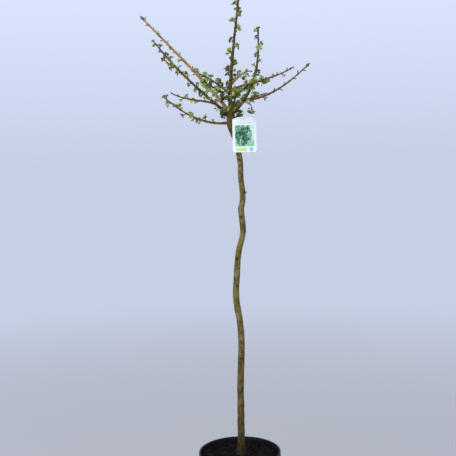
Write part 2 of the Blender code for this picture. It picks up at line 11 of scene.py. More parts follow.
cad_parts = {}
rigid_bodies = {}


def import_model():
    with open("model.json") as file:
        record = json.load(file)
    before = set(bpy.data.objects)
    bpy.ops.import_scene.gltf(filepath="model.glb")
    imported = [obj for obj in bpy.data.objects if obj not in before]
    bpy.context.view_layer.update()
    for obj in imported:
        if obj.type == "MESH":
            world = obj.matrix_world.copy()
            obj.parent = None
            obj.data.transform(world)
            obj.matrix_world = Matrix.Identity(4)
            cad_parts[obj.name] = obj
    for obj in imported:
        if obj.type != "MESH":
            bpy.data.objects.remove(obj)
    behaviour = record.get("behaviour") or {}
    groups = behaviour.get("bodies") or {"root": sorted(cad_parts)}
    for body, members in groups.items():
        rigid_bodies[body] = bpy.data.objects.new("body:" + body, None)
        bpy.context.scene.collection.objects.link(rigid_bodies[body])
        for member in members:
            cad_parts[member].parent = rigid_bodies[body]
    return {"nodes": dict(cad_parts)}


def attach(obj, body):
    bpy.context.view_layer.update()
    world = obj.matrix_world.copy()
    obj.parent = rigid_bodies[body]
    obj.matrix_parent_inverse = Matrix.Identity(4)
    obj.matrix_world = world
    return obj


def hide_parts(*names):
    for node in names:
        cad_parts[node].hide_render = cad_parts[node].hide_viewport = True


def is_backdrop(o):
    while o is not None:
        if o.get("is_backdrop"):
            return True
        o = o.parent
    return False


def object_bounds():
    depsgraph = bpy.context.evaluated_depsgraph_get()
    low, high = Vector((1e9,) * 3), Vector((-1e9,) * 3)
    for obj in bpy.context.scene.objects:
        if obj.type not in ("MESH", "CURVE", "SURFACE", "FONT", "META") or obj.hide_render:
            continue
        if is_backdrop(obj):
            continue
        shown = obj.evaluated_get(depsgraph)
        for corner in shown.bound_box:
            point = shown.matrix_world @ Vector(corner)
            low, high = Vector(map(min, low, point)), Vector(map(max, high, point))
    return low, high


# A young dwarf ginkgo, grafted at the top of a bare stem, in a round nursery pot
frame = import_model()
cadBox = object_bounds()
print("frame loaded:", len(frame["nodes"]), "nodes")


# Small helpers for materials and meshes

fullTurn = 2 * math.pi
anyTurn = (0, 6.28)  # the range that a turn is drawn from, in radians
weldWithin = 0.000001


def linear(hexColour):  # sRGB hex to the linear values that a shader takes
    values = [int(hexColour[i:i + 2], 16) / 255 for i in (1, 3, 5)]
    return (*[v / 12.92 if v <= 0.04045 else ((v + 0.055) / 1.055) ** 2.4 for v in values], 1.0)


def perMetre(millimetres):  # whole repeats in a metre of a pattern that is so wide
    return round(1000 / millimetres)


def startMaterial(name, roughness, specular=0.5):
    made = bpy.data.materials.new(name)
    made.use_nodes = True
    shader = made.node_tree.nodes["Principled BSDF"]
    shader.inputs["Roughness"].default_value = roughness
    shader.inputs["Specular IOR Level"].default_value = specular
    return made, made.node_tree, shader


def addNode(tree, kind, inputs=None, stops=None, **settings):  # one node with its settings, stops and links
    node = tree.nodes.new("ShaderNode" + kind)
    for name, value in settings.items():
        setattr(node, name, value)
    for name, value in (inputs or {}).items():
        if isinstance(value, bpy.types.NodeSocket):
            tree.links.new(value, node.inputs[name])
        else:
            node.inputs[name].default_value = value
    for number, (place, colour) in enumerate(stops or []):
        steps = node.color_ramp.elements
        step = steps[number] if number < 2 else steps.new(place)
        step.position = place
        step.color = linear(colour) if isinstance(colour, str) else (colour, colour, colour, 1.0)
    return node


def speckled(name, roughness, specular, grain, detail, stops, torn=0.5, relief=None):
    # a whole plain material: one noise of so many millimetres gives its colour and its relief
    made, tree, shader = startMaterial(name, roughness, specular)
    place = addNode(tree, "TexCoord")
    specks = addNode(tree, "TexNoise", {
        "Vector": place.outputs["Object"], "Scale": perMetre(grain), "Detail": detail, "Roughness": torn})
    colour = addNode(tree, "ValToRGB", {0: specks.outputs[0]}, stops=stops)
    tree.links.new(colour.outputs[0], shader.inputs["Base Color"])
    if relief:
        bump = addNode(tree, "Bump", {
            "Height": specks.outputs[0], "Strength": relief[0], "Distance": relief[1]})
        tree.links.new(bump.outputs[0], shader.inputs["Normal"])
    return made


def wrappedGrid(rows, sides, placesOf):  # a grid whose rows are bent into rings and welded at the seam
    bm = bmesh.new()
    bm.loops.layers.uv.new("UVMap")
    bmesh.ops.create_grid(bm, x_segments=sides, y_segments=rows - 1, size=1.0, calc_uvs=True)
    mesh = bpy.data.meshes.new("wrapped")
    bm.to_mesh(mesh)
    flat = np.zeros(len(mesh.vertices) * 3)
    mesh.vertices.foreach_get("co", flat)
    share = (flat.reshape(-1, 3) + 1) / 2
    column = np.rint(share[:, 0] * sides).astype(int) % sides
    row = np.rint(share[:, 1] * (rows - 1)).astype(int)
    places, attributes = placesOf(row, fullTurn * column / sides)
    mesh.vertices.foreach_set("co", places.ravel())
    for name, values in attributes.items():
        kind, field = ("FLOAT_VECTOR", "vector") if values.ndim == 2 else ("FLOAT", "value")
        mesh.attributes.new(name, kind, "POINT").data.foreach_set(field, values.ravel())
    bm.clear()
    bm.from_mesh(mesh)
    bmesh.ops.remove_doubles(bm, verts=bm.verts, dist=weldWithin)
    ends = [edge for edge in bm.edges if edge.is_boundary]
    if ends:
        bmesh.ops.holes_fill(bm, edges=ends, sides=0)
    bmesh.ops.recalc_face_normals(bm, faces=bm.faces)
    bpy.data.meshes.remove(mesh)
    return bm


def finishMesh(name, mesh, materials, nodes, sharp):  # a mesh becomes a piece of the plant
    mesh.name = name
    for paint in materials:
        mesh.materials.append(paint)
    mesh.shade_smooth()
    mesh.set_sharp_from_angle(angle=math.radians(sharp))
    made = bpy.data.objects.new(name, mesh)
    bpy.context.scene.collection.objects.link(made)
    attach(made, "root")
    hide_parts(*nodes)
    print(name, len(mesh.polygons), "faces")


def finishPiece(name, bm, materials, nodes, sharp):
    mesh = bpy.data.meshes.new(name)
    bm.to_mesh(mesh)
    bm.free()
    finishMesh(name, mesh, materials, nodes, sharp)


def arraysOf(bm):  # the vertices and triangles of a small shape that is about to be repeated
    bmesh.ops.triangulate(bm, faces=bm.faces)
    bm.verts.index_update()
    places = np.array([tuple(v.co) for v in bm.verts])
    faces = np.array([[v.index for v in f.verts] for f in bm.faces])
    bm.free()
    return places, faces


def placed(shape, origin, turn, scale):  # a small shape, scaled, turned and moved
    places, faces = shape
    return (places * np.array(scale)) @ np.array(turn).T + np.array(origin), faces


def joinedMesh(name, copies):  # copies: rows of (places, faces, material number), joined as one mesh
    places, faces, paints, first = [], [], [], 0
    for spots, corners, paint in copies:
        places.append(spots)
        faces.append(corners + first)
        paints.append(np.full(len(corners), paint, np.int32))
        first += len(spots)
    mesh = bpy.data.meshes.new(name)
    mesh.from_pydata(np.vstack(places), [], np.vstack(faces))
    mesh.polygons.foreach_set("material_index", np.concatenate(paints))
    return mesh


# Lines that the limbs follow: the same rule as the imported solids

growth = {
    "steps": 48, "taperPower": 0.85, "goldenTurn": math.radians(137.5), "turnWander": 0.3,
    "firstSpur": 0.6, "spacingWander": 0.2, "vigour": (0.65, 1.15), "freeOfTip": 0.004,
    "freeOfBough": 0.004, "freeOfSeat": 0.018, "spurTilt": math.radians(58),
    "spurLength": (0.010, 0.006), "sideTwigSeed": 50, "tipSeed": 99, "budShare": 0.16, "leafyTip": 0.75,
    "clusterBelow": 0.5, "clusterBuds": 6, "clusterStep": 0.0022,
}
# parent and the place on it, azimuths and rises in degrees, length and radii in metres, bare share,
# spur spacing, how leafy, and the number of its bark colour
shootRow = namedtuple("shootRow", "parent place azimuth rise length radii bare spacing leafy bark")
shoots = {name: shootRow(*row) for name, *row in [
    ("leader", "trunk", 1.345, (28, 45), (91, 81, 82), 0.435, (0.0062, 0.0020), 0.25, 0.019, 1.0, 1),
    ("left_long", "trunk", 1.340, (189, 194), (53, 46, 46), 0.395, (0.0058, 0.0024), 0.28, 0.018, 0.45, 0),
    ("left_back", "trunk", 1.332, (150, 164), (36, 43, 52), 0.365, (0.0054, 0.0020), 0.25, 0.018, 0.8, 1),
    ("left_low", "trunk", 1.312, (173, 167), (-9, 24, 42), 0.235, (0.0044, 0.0018), 0.28, 0.018, 0.8, 2),
    ("right_tall", "trunk", 1.334, (-24, 60), (36, 73, 92), 0.290, (0.0056, 0.0020), 0.29, 0.018, 0.9, 1),
    ("back", "trunk", 1.340, (89, 85), (41, 40, 43), 0.300, (0.0044, 0.0018), 0.26, 0.019, 0.8, 1),
    ("front", "trunk", 1.336, (-83, -89), (10, 15, 16), 0.210, (0.0042, 0.0018), 0.26, 0.018, 0.9, 2),
    ("left_front", "left_back", 0.048, (240, 185), (24, 5, 29), 0.180, (0.0038, 0.0017), 0.30, 0.018, 0.6, 2),
    ("front_left", "left_long", 0.044, (281, 233), (33, 4, 23), 0.205, (0.0036, 0.0017), 0.26, 0.018, 1.0, 1),
    ("front_right", "leader", 0.036, (-53, -72), (28, 10, -7), 0.215, (0.0036, 0.0017), 0.26, 0.018, 0.9, 1),
    ("back_left", "leader", 0.052, (135, 113), (40, 22, 19), 0.230, (0.0036, 0.0017), 0.26, 0.019, 0.8, 1),
    ("right_high", "leader", 0.067, (-14, -30), (19, 12, 24), 0.210, (0.0038, 0.0017), 0.26, 0.018, 0.6, 2),
    ("back_right", "leader", 0.081, (65, 64), (28, 23, 4), 0.170, (0.0034, 0.0017), 0.26, 0.018, 0.7, 0),
    ("back_low", "right_tall", 0.031, (66, 59), (31, 13, 13), 0.225, (0.0036, 0.0017), 0.26, 0.019, 0.7, 1),
    ("right_low", "right_tall", 0.066, (29, -6), (-1, 30, 42), 0.245, (0.0040, 0.0018), 0.30, 0.018, 0.35, 2),
]}
smallSprays = {name: shootRow(*row) for name, *row in [
    ("right_drooping", "right_tall", 0.058, (-42, -70), (-20, -25, -85), 0.060, (0.0018, 0.0013), 0, 0.020,
     0.8, 2),
    ("head_front", "leader", 0.020, (-115, -110), (50, 45, 40), 0.030, (0.0024, 0.0018), 0, 0.006, 1.0, 1),
    ("head_left", "trunk", 1.330, (210, 215), (0, 20, 45), 0.034, (0.0026, 0.0020), 0, 0.006, 1.0, 1),
    ("head_right", "trunk", 1.322, (15, 10), (15, 30, 50), 0.032, (0.0026, 0.0020), 0, 0.006, 1.0, 1),
    ("head_back", "trunk", 1.322, (125, 130), (35, 35, 35), 0.032, (0.0026, 0.0020), 0, 0.006, 1.0, 1),
]}
sideTwigs = {
    "left_back": shootRow(
        "left_back", 0.247, (231, 228), (5, 24, 20), 0.070, (0.0022, 0.0015), 0, 0.017, 0.7, 0),
}


def roundedRoute(rows, steps):  # a smooth line of rows through the given ones
    rows = [Vector(row) for row in rows]
    ends = [rows[0] * 2 - rows[1], *rows, rows[-1] * 2 - rows[-2]]
    route = []
    for before, start, stop, after in zip(ends, ends[1:], ends[2:], ends[3:]):
        for step in range(steps):
            t = step / steps
            route.append(
                start * (2 * t**3 - 3 * t**2 + 1) + (stop - before) / 2 * (t**3 - 2 * t**2 + t)
                + stop * (-2 * t**3 + 3 * t**2) + (after - start) / 2 * (t**3 - t**2)
            )
    return route + [rows[-1]]


def heading(azimuth, rise):
    return Vector((math.cos(rise) * math.cos(azimuth), math.cos(rise) * math.sin(azimuth), math.sin(rise)))


def grownLine(start, shoot):  # the azimuth turns evenly, the rise bends through three values
    line = [Vector(start)]
    low, middle, high = shoot.rise
    stepLength = shoot.length / growth["steps"]
    for step in range(growth["steps"]):
        t = (step + 0.5) / growth["steps"]
        azimuth = shoot.azimuth[0] + (shoot.azimuth[1] - shoot.azimuth[0]) * t
        rise = (1 - t) * (1 - 2 * t) * low + 4 * t * (1 - t) * middle + t * (2 * t - 1) * high
        line.append(line[-1] + heading(math.radians(azimuth), math.radians(rise)) * stepLength)
    return line


def placeOn(line, distance):  # the point so far along a line, and the line's direction there
    for start, stop in zip(line, line[1:]):
        span = (stop - start).length
        if distance <= span or stop is line[-1]:
            ahead = (stop - start).normalized()
            return start + ahead * min(distance, span), ahead
        distance -= span


def radiusAt(shoot, distance):
    share = min(1.0, max(0.0, distance / shoot.length))
    return shoot.radii[0] + (shoot.radii[1] - shoot.radii[0]) * share**growth["taperPower"]


def turnedTo(direction, roll=0.0):  # a rotation that sends +Z along the direction
    return Vector(direction).to_track_quat("Z", "Y").to_matrix() @ Matrix.Rotation(roll, 3, "Z")


def outward(ahead, turn):  # a direction at the spur's tilt from the shoot, turned so far round it
    side = turnedTo(ahead) @ Vector((math.cos(turn), math.sin(turn), 0))
    return (ahead * math.cos(growth["spurTilt"]) + side * math.sin(growth["spurTilt"])).normalized()


def spurPlaces(shoot, first, seed):  # distance, turn and vigour of each spur, in the order that they grow
    draw = random.Random(seed)
    places = []
    turn = draw.uniform(0, fullTurn)
    distance = first + shoot.spacing * growth["firstSpur"]
    while distance < shoot.length - growth["freeOfTip"]:
        places.append((distance, turn, shoot.leafy * draw.uniform(*growth["vigour"])))
        turn += growth["goldenTurn"] + draw.uniform(-growth["turnWander"], growth["turnWander"])
        distance += shoot.spacing * draw.uniform(1 - growth["spacingWander"], 1 + growth["spacingWander"])
    return places


# Trunk: a rough olive stem with a flared foot, old bud knots and the swelling of the graft

trunkSizes = {
    "foot": 0.2373,
    "bends": [  # height, sideways, depth and radius
        (0.2373, 0.005, 0.008, 0.0150), (0.262, 0.005, 0.008, 0.0124), (0.300, 0.006, 0.007, 0.0113),
        (0.460, 0.007, 0.004, 0.0108), (0.610, 0.013, 0.000, 0.0103), (0.680, 0.009, -0.002, 0.0100),
        (0.755, -0.001, -0.003, 0.0100), (0.820, 0.002, 0.000, 0.0097), (0.900, 0.010, 0.003, 0.0095),
        (0.965, 0.025, 0.005, 0.0094), (1.035, 0.021, 0.006, 0.0091), (1.077, 0.027, 0.007, 0.0090),
        (1.140, 0.022, 0.007, 0.0088), (1.200, 0.020, 0.006, 0.0088), (1.262, 0.006, 0.004, 0.0090),
        (1.290, -0.001, 0.002, 0.0126), (1.318, -0.005, 0.001, 0.0134), (1.342, -0.006, 0.000, 0.0128),
        (1.354, -0.006, 0.000, 0.0085),
    ],
    "stepsPerBend": 30, "sides": 80, "rowStep": 0.0022,
    "knots": [  # height, azimuth in degrees, half height, how far it stands out
        (1.194, -100, 0.009, 0.0013), (1.090, -12, 0.006, 0.0018), (1.040, 190, 0.010, 0.0016),
        (1.015, -108, 0.009, 0.0015), (0.882, -110, 0.009, 0.0018), (0.795, -60, 0.006, 0.0012),
        (0.715, 175, 0.010, 0.0014), (0.560, -95, 0.009, 0.0014), (0.400, -15, 0.010, 0.0016),
        (0.930, 80, 0.009, 0.0016), (0.650, 40, 0.010, 0.0016), (0.480, 130, 0.010, 0.0015),
        (1.140, 95, 0.008, 0.0014),
    ],
    "knotTurn": 0.55, "coreTurn": 0.75, "coreShort": 1.5, "coreDip": 0.45,
    "fissureDepth": 0.0008, "fissuresAcross": 3.2, "fissuresUp": 28, "fissureNoise": (0.8, 2.1, 4),
    "lumpDepth": 0.0008, "lumpsAcross": 1.1, "lumpsUp": 22, "lumpShift": 7,
    "roots": 4, "rootTurn": 0.7, "rootReach": 0.014, "rootDepth": 0.0017,
}
graftSizes = {
    "middle": 1.315, "half": 0.030, "lumps": 2.2, "foot": 1.262, "slant": 0.004, "slantTurn": 2.6,
    "ledge": 0.0012, "rimHeight": 1.268, "rimHalf": 0.006, "step": 0.0012,
    "crackShade": 0.4, "crackBelow": -0.15,
}
trunkRoute = roundedRoute([(x, y, z, r) for z, x, y, r in trunkSizes["bends"]], trunkSizes["stepsPerBend"])
trunkRows = np.array([tuple(row) for row in trunkRoute])


def trunkPlace(height):
    return Vector([float(np.interp(height, trunkRows[:, 2], trunkRows[:, axis])) for axis in range(3)])


def trunkKnots(z, theta):  # how far the old bud knots stand out, and how dark their cores are
    swell = np.zeros(len(z))
    dark = np.zeros(len(z))
    for height, azimuth, half, out in trunkSizes["knots"]:
        turn = (theta - math.radians(azimuth) + math.pi) % fullTurn - math.pi
        away = (z - height) / half
        near = np.exp(-away**2 * 2 - (turn / trunkSizes["knotTurn"]) ** 2 * 2)
        core = np.exp(-(away * trunkSizes["coreShort"]) ** 2 * 2 - (turn / trunkSizes["coreTurn"]) ** 2 * 2)
        swell += near * out - core * out * trunkSizes["coreDip"]
        dark = np.maximum(dark, core)
    return swell, dark


def trunkNoise(z, theta):  # fine fissures and broad lumps
    size = trunkSizes
    fine = [noise.fractal(Vector((math.cos(t) * size["fissuresAcross"], math.sin(t) * size["fissuresAcross"],
                                  h * size["fissuresUp"])), *size["fissureNoise"]) for t, h in zip(theta, z)]
    lump = [noise.noise(Vector((math.cos(t) * size["lumpsAcross"], math.sin(t) * size["lumpsAcross"],
                                h * size["lumpsUp"] + size["lumpShift"]))) for t, h in zip(theta, z)]
    return np.array(fine), np.array(lump)


def graftForm(z, theta):  # how ropy the bark is, and the slanting rim where the graft took
    ropy = np.exp(-((z - graftSizes["middle"]) / graftSizes["half"]) ** 2)
    above = z - graftSizes["foot"] - graftSizes["slant"] * np.cos(theta - graftSizes["slantTurn"])
    ledge = 1 / (1 + np.exp(np.minimum(-above / graftSizes["ledge"], 60)))  # 60 keeps exp from overflowing
    return ropy, np.exp(-((z - graftSizes["rimHeight"]) / graftSizes["rimHalf"]) ** 2) * ledge


def makeTrunk(paint):
    size = trunkSizes
    heights = np.arange(size["foot"], trunkRows[-1, 2], size["rowStep"])
    heights = np.append(heights, trunkRows[-1, 2])

    def placesOf(row, theta):
        z = heights[row]
        radius = np.interp(z, trunkRows[:, 2], trunkRows[:, 3])
        swell, dark = trunkKnots(z, theta)
        fine, lump = trunkNoise(z, theta)
        ropy, rim = graftForm(z, theta)
        fading = np.exp(-(z - size["foot"]) / size["rootReach"])
        roots = fading * np.cos(theta * size["roots"] + size["rootTurn"]) * size["rootDepth"]
        out = (radius + swell + roots + fine * size["fissureDepth"] * (1 + ropy)
               + lump * size["lumpDepth"] * (1 + graftSizes["lumps"] * ropy) + rim * graftSizes["step"])
        x = np.interp(z, trunkRows[:, 2], trunkRows[:, 0]) + out * np.cos(theta)
        y = np.interp(z, trunkRows[:, 2], trunkRows[:, 1]) + out * np.sin(theta)
        grain = np.stack([out * np.cos(theta), out * np.sin(theta), z], 1)
        # painted shade: the ropy graft bark is darkened in the fissures that the fine noise sinks into its
        # surface
        paintedCrackShade = graftSizes["crackShade"] * ropy * (fine < graftSizes["crackBelow"])
        return np.stack([x, y, z], 1), {"grainPlace": grain, "knotCoresAndCrackShade": np.clip(dark + paintedCrackShade, 0, 1)}

    bm = wrappedGrid(len(heights), size["sides"], placesOf)
    finishPiece("trunkBark", bm, [paint], ["trunk"], 60)


# Ginkgo stem bark: corky and matt, olive brown with paler ridges, dark scars and green algae, with painted
# shade that darkens it towards the foot in the pot
def stemBark():
    made, tree, shader = startMaterial("ginkgoStemBark", 0.88, 0.25)
    place = addNode(tree, "Attribute", attribute_name="grainPlace")
    stretch = addNode(tree, "Mapping", {"Vector": place.outputs["Vector"], "Scale": (1.0, 1.0, 0.16)})
    streaks = addNode(tree, "TexNoise", {  # corky ridges
        "Vector": stretch.outputs[0], "Scale": perMetre(2.38), "Detail": 5.0, "Roughness": 0.62})
    patches = addNode(tree, "TexNoise", {  # weathered patches
        "Vector": place.outputs["Vector"], "Scale": perMetre(26.3), "Detail": 3.0, "Roughness": 0.6})
    colour = addNode(tree, "ValToRGB", {0: streaks.outputs[0]}, stops=[
        (0.32, "#2a1f0b"), (0.70, "#968558"), (0.44, "#4e4019"), (0.56, "#725f30")])
    pale = addNode(tree, "ValToRGB", {0: patches.outputs[0]}, stops=[(0.48, 0.0), (0.66, 0.8)])
    faded = addNode(tree, "Mix", {0: pale.outputs[0], 6: colour.outputs[0], 7: linear("#8e805c")},
                    data_type="RGBA")
    spots = addNode(tree, "TexNoise", {  # dark scars and wet cracks
        "Vector": place.outputs["Vector"], "Scale": perMetre(6.67), "Detail": 5.0, "Roughness": 0.7})
    scars = addNode(tree, "ValToRGB", {0: spots.outputs[0]}, stops=[(0.38, 0.9), (0.48, 0.0)])
    scarred = addNode(tree, "Mix", {0: scars.outputs[0], 6: faded.outputs[2], 7: linear("#231b0b")},
                      data_type="RGBA")
    height = addNode(tree, "SeparateXYZ", {0: place.outputs["Vector"]})
    graft = addNode(tree, "MapRange", {0: height.outputs["Z"], 1: 1.255, 2: 1.280, 3: 0.0, 4: 0.6})
    brown = addNode(tree, "Mix", {0: graft.outputs[0], 6: scarred.outputs[2], 7: linear("#43340f")},
                    data_type="RGBA")
    # painted shade: the bark darkens towards its foot, most where it stands inside the pot's rim, fading out
    # by 0.62 m
    paintedFootShade = addNode(tree, "ValToRGB", {0: height.outputs["Z"]}, stops=[  # by height in metres
        (0.25, 0.95), (0.62, 0.0), (0.285, 0.66)])
    footShadedBark = addNode(tree, "Mix", {0: paintedFootShade.outputs[0], 6: brown.outputs[2], 7: linear("#1d1405")},
                  data_type="RGBA")
    bands = addNode(tree, "ValToRGB", {0: height.outputs["Z"]}, stops=[  # algae by height in metres
        (0.30, 0.35), (1.0, 0.10), (0.37, 0.9), (0.44, 0.25), (0.70, 0.25), (0.76, 0.9), (0.83, 0.35),
        (0.90, 1.0), (0.955, 0.9), (0.97, 0.10)])
    longer = addNode(tree, "Mapping", {"Vector": place.outputs["Vector"], "Scale": (1, 1, 0.45)})
    blots = addNode(tree, "TexNoise", {  # blots of algae, longer up the stem
        "Vector": longer.outputs[0], "Scale": perMetre(8.7), "Detail": 4.0, "Roughness": 0.65})
    blotMask = addNode(tree, "ValToRGB", {0: blots.outputs[0]}, stops=[(0.42, 0.0), (0.60, 1.0)])
    algae = addNode(tree, "Math", {0: bands.outputs[0], 1: blotMask.outputs[0]}, operation="MULTIPLY")
    # the algae fade out towards the foot, over the same heights as the painted shade
    algaeFadeLow = addNode(tree, "MapRange", {0: height.outputs["Z"], 1: 0.30, 2: 0.62, 3: 0.35, 4: 1.0})
    shown = addNode(tree, "Math", {0: algae.outputs[0], 1: algaeFadeLow.outputs[0]}, operation="MULTIPLY")
    green = addNode(tree, "Mix", {0: shown.outputs[0], 6: footShadedBark.outputs[2], 7: linear("#6f6c17")},
                    data_type="RGBA")
    # darkens the knot cores, and as painted shade the graft's fissures
    knotCoresAndCrackShade = addNode(tree, "Attribute", attribute_name="knotCoresAndCrackShade")
    knots = addNode(tree, "Mix", {0: knotCoresAndCrackShade.outputs["Fac"], 6: green.outputs[2], 7: linear("#110c05")},
                    data_type="RGBA")
    tree.links.new(knots.outputs[2], shader.inputs["Base Color"])
    bump = addNode(tree, "Bump", {"Height": streaks.outputs[0], "Strength": 0.7, "Distance": 0.0009})
    tree.links.new(bump.outputs[0], shader.inputs["Normal"])
    return made


# Shoots: one continuous tapering limb each, with a collar at its foot and a node under each spur

shootSizes = {
    "sides": 16, "step": 0.0022, "fewestRings": 12, "tipShrink": (0.8, 0.35),
    "collar": 0.35, "collarReach": 0.007, "nodeSwell": 0.00085, "nodeReach": 0.0034,
    "wander": 0.00022, "wanderAcross": 1.3, "wanderAlong": 110,
}
innerSpurs = {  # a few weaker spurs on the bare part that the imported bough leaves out
    "seed": 301, "spacing": 0.030, "spacings": (0.7, 1.3), "free": 0.014,
    "vigour": 0.66, "vigours": (0.5, 1.2),
}
lines = {}
limbs = []  # every limb as (shoot, line, spurs, seed)


def growLimbs():
    for number, (name, shoot) in enumerate([*shoots.items(), *smallSprays.items()]):
        if shoot.parent == "trunk":
            start = trunkPlace(shoot.place)
        else:
            start = placeOn(lines[shoot.parent], shoot.place)[0]
        line = grownLine(start, shoot)
        lines[name] = line
        seated = shoot.bare == 0
        first = shoot.length * shoot.bare + (growth["freeOfSeat"] if seated else growth["freeOfBough"])
        spurs = spurPlaces(shoot, first, number + 1)
        if not seated:
            draw = random.Random(number + innerSpurs["seed"])
            distance = innerSpurs["free"] + shoot.radii[0]
            while distance < first:
                vigour = innerSpurs["vigour"] * draw.uniform(*innerSpurs["vigours"])
                spurs.append((distance, draw.uniform(0, fullTurn), vigour))
                distance += innerSpurs["spacing"] * draw.uniform(*innerSpurs["spacings"])
        limbs.append((shoot, line, spurs, number + 1))
        if name in sideTwigs:
            twig = sideTwigs[name]
            seed = number + 1 + growth["sideTwigSeed"]
            twigSpurs = spurPlaces(twig, growth["freeOfBough"], seed)
            limbs.append((twig, grownLine(placeOn(line, twig.place)[0], twig), twigSpurs, seed))


def ringFrames(line, distances):  # centres along a line, with two side directions that don't twist
    centres, firsts, seconds = [], [], []
    side = None
    for distance in distances:
        centre, ahead = placeOn(line, distance)
        side = ahead.orthogonal() if side is None else side - ahead * side.dot(ahead)
        side.normalize()
        centres.append(tuple(centre))
        firsts.append(tuple(side))
        seconds.append(tuple(ahead.cross(side)))
    return [np.array(rows) for rows in (centres, firsts, seconds)]


def makeShoots(paints):
    size = shootSizes
    whole = bmesh.new()
    for shoot, line, spurs, seed in limbs:
        count = max(size["fewestRings"], round(shoot.length / size["step"]))
        distances = np.linspace(0, shoot.length, count + 1)
        centres, firsts, seconds = ringFrames(line, distances)
        radii = np.array([radiusAt(shoot, distance) for distance in distances])
        pastFoot = np.maximum(0, distances - shoot.radii[0])
        radii *= 1 + size["collar"] * np.exp(-pastFoot / size["collarReach"])
        for distance, turn, vigour in spurs:
            radii += size["nodeSwell"] * np.exp(-((distances - distance) / size["nodeReach"]) ** 2)
        radii[-2:] *= size["tipShrink"]

        def placesOf(row, theta):
            along = distances[row]
            rough = np.array([
                noise.noise(Vector((math.cos(t) * size["wanderAcross"] + seed,
                                    math.sin(t) * size["wanderAcross"], d * size["wanderAlong"])))
                for t, d in zip(theta, along)
            ])
            out = radii[row] + rough * size["wander"]
            flat = np.cos(theta)[:, None] * firsts[row] + np.sin(theta)[:, None] * seconds[row]
            grain = np.stack([out * np.cos(theta), out * np.sin(theta), along + seed], 1)
            return centres[row] + flat * out[:, None], {"grainPlace": grain}

        bm = wrappedGrid(len(distances), size["sides"], placesOf)
        part = bpy.data.meshes.new("shoot")
        for face in bm.faces:
            face.material_index = shoot.bark
        bm.to_mesh(part)
        bm.free()
        whole.from_mesh(part)
        bpy.data.meshes.remove(part)
    boughs = [node for node in frame["nodes"] if node.startswith("bough_")]
    finishPiece("shootBark", whole, paints, boughs, 60)


barkColours = {  # dark, middle, light and skin, in the order of the shoots' bark numbers
    "tanShootBark": ("#6b4d24", "#93703a", "#b08a50", "#c3a673"),
    "darkShootBark": ("#221a07", "#3f3211", "#5c4b1e", "#766435"),
    "russetShootBark": ("#3f270e", "#66451c", "#86602c", "#9c7c47"),
}


# Young ginkgo bark: thin and satin, tan to dark brown, with a paler papery skin that splits along the shoot
def youngBark(name, dark, middle, light, skin):
    made, tree, shader = startMaterial(name, 0.66, 0.22)
    place = addNode(tree, "Attribute", attribute_name="grainPlace")
    stretch = addNode(tree, "Mapping", {"Vector": place.outputs["Vector"], "Scale": (1.0, 1.0, 0.14)})
    splits = addNode(tree, "TexNoise", {  # lengthwise splits
        "Vector": stretch.outputs[0], "Scale": perMetre(1.316), "Detail": 4.0, "Roughness": 0.6})
    tone = addNode(tree, "TexNoise", {  # slow changes of tone
        "Vector": place.outputs["Vector"], "Scale": perMetre(18.2), "Detail": 2.0})
    colour = addNode(tree, "ValToRGB", {0: tone.outputs[0]}, stops=[
        (0.32, dark), (0.68, light), (0.5, middle)])
    mask = addNode(tree, "ValToRGB", {0: splits.outputs[0]}, stops=[(0.54, 0.0), (0.66, 0.8)])
    whole = addNode(tree, "Mix", {0: mask.outputs[0], 6: colour.outputs[0], 7: linear(skin)},
                    data_type="RGBA")
    tree.links.new(whole.outputs[2], shader.inputs["Base Color"])
    bump = addNode(tree, "Bump", {"Height": splits.outputs[0], "Strength": 0.5, "Distance": 0.0004})
    tree.links.new(bump.outputs[0], shader.inputs["Normal"])
    return made


# Spurs, buds and leaves: each spur is a stack of scar rings that ends in a bud or a tuft of fans

spurSizes = {
    "sides": 7, "rings": 6, "pinch": 0.18, "taper": 0.82, "radius": 0.0022, "widths": (0.8, 1.05),
    "weakWide": 0.8, "vigourWide": 0.3, "innerReach": 0.004,
    "seedStep": 7, "seedFrom": 3,
}
budSizes = {
    "sides": 8, "rings": 6, "narrow": 0.42, "ridge": 0.10, "ridgeTurns": 14, "reach": 1.2, "sunk": 0.2,
    "seat": 0.001, "radius": 0.0021, "length": 0.0058, "lengths": (0.8, 1.1), "leafyWide": 1.05,
    "leafyShort": 0.45, "tip": (0.0026, 0.0026, 0.0085), "cluster": (0.0025, 0.0025, 0.0072),
    "onStem": (0.0024, 0.0024, 0.0068), "stemHeight": 1.090, "stemTurn": math.radians(-12), "stemRise": 0.9,
    "stemRadius": 0.0095, "paints": (0, 0, 1),  # two brown buds to each green one
}
leafSizes = {
    "blade": 0.0110, "halfSpread": math.radians(58), "rays": 10, "rings": 3, "root": 0.06,
    "petiole": 0.0042, "petioleRadius": 0.00045, "petioleTaper": 1.3, "petioleOverlap": 1.15,
    "petioleSides": 3,
    "notch": 0.34, "notchWidth": 0.10, "corner": 0.10, "ripple": 0.05, "ripples": 11,
    "wave": 0.0011, "waves": 7, "cup": 0.0030, "cupPower": 1.6,
    "spreads": (0.82, 1.12), "notches": (0.3, 1.2), "folds": (0.4, 1.5), "shapes": 6, "shapeSeed": 71,
}
tuftSizes = {
    "most": 8, "least": 3, "counts": (0.7, 1.0), "weakest": 0.44, "sizes": (0.62, 1.12),
    "leafSizes": (0.78, 1.15), "weakSize": 0.82, "vigourSize": 0.18, "widths": (0.85, 1.15),
    "lean": (18, 84), "turnWander": 0.3, "lift": 0.12, "faceIn": 0.5, "faceUp": 0.35, "ownTint": 0.65,
    "seedStep": 100,
}


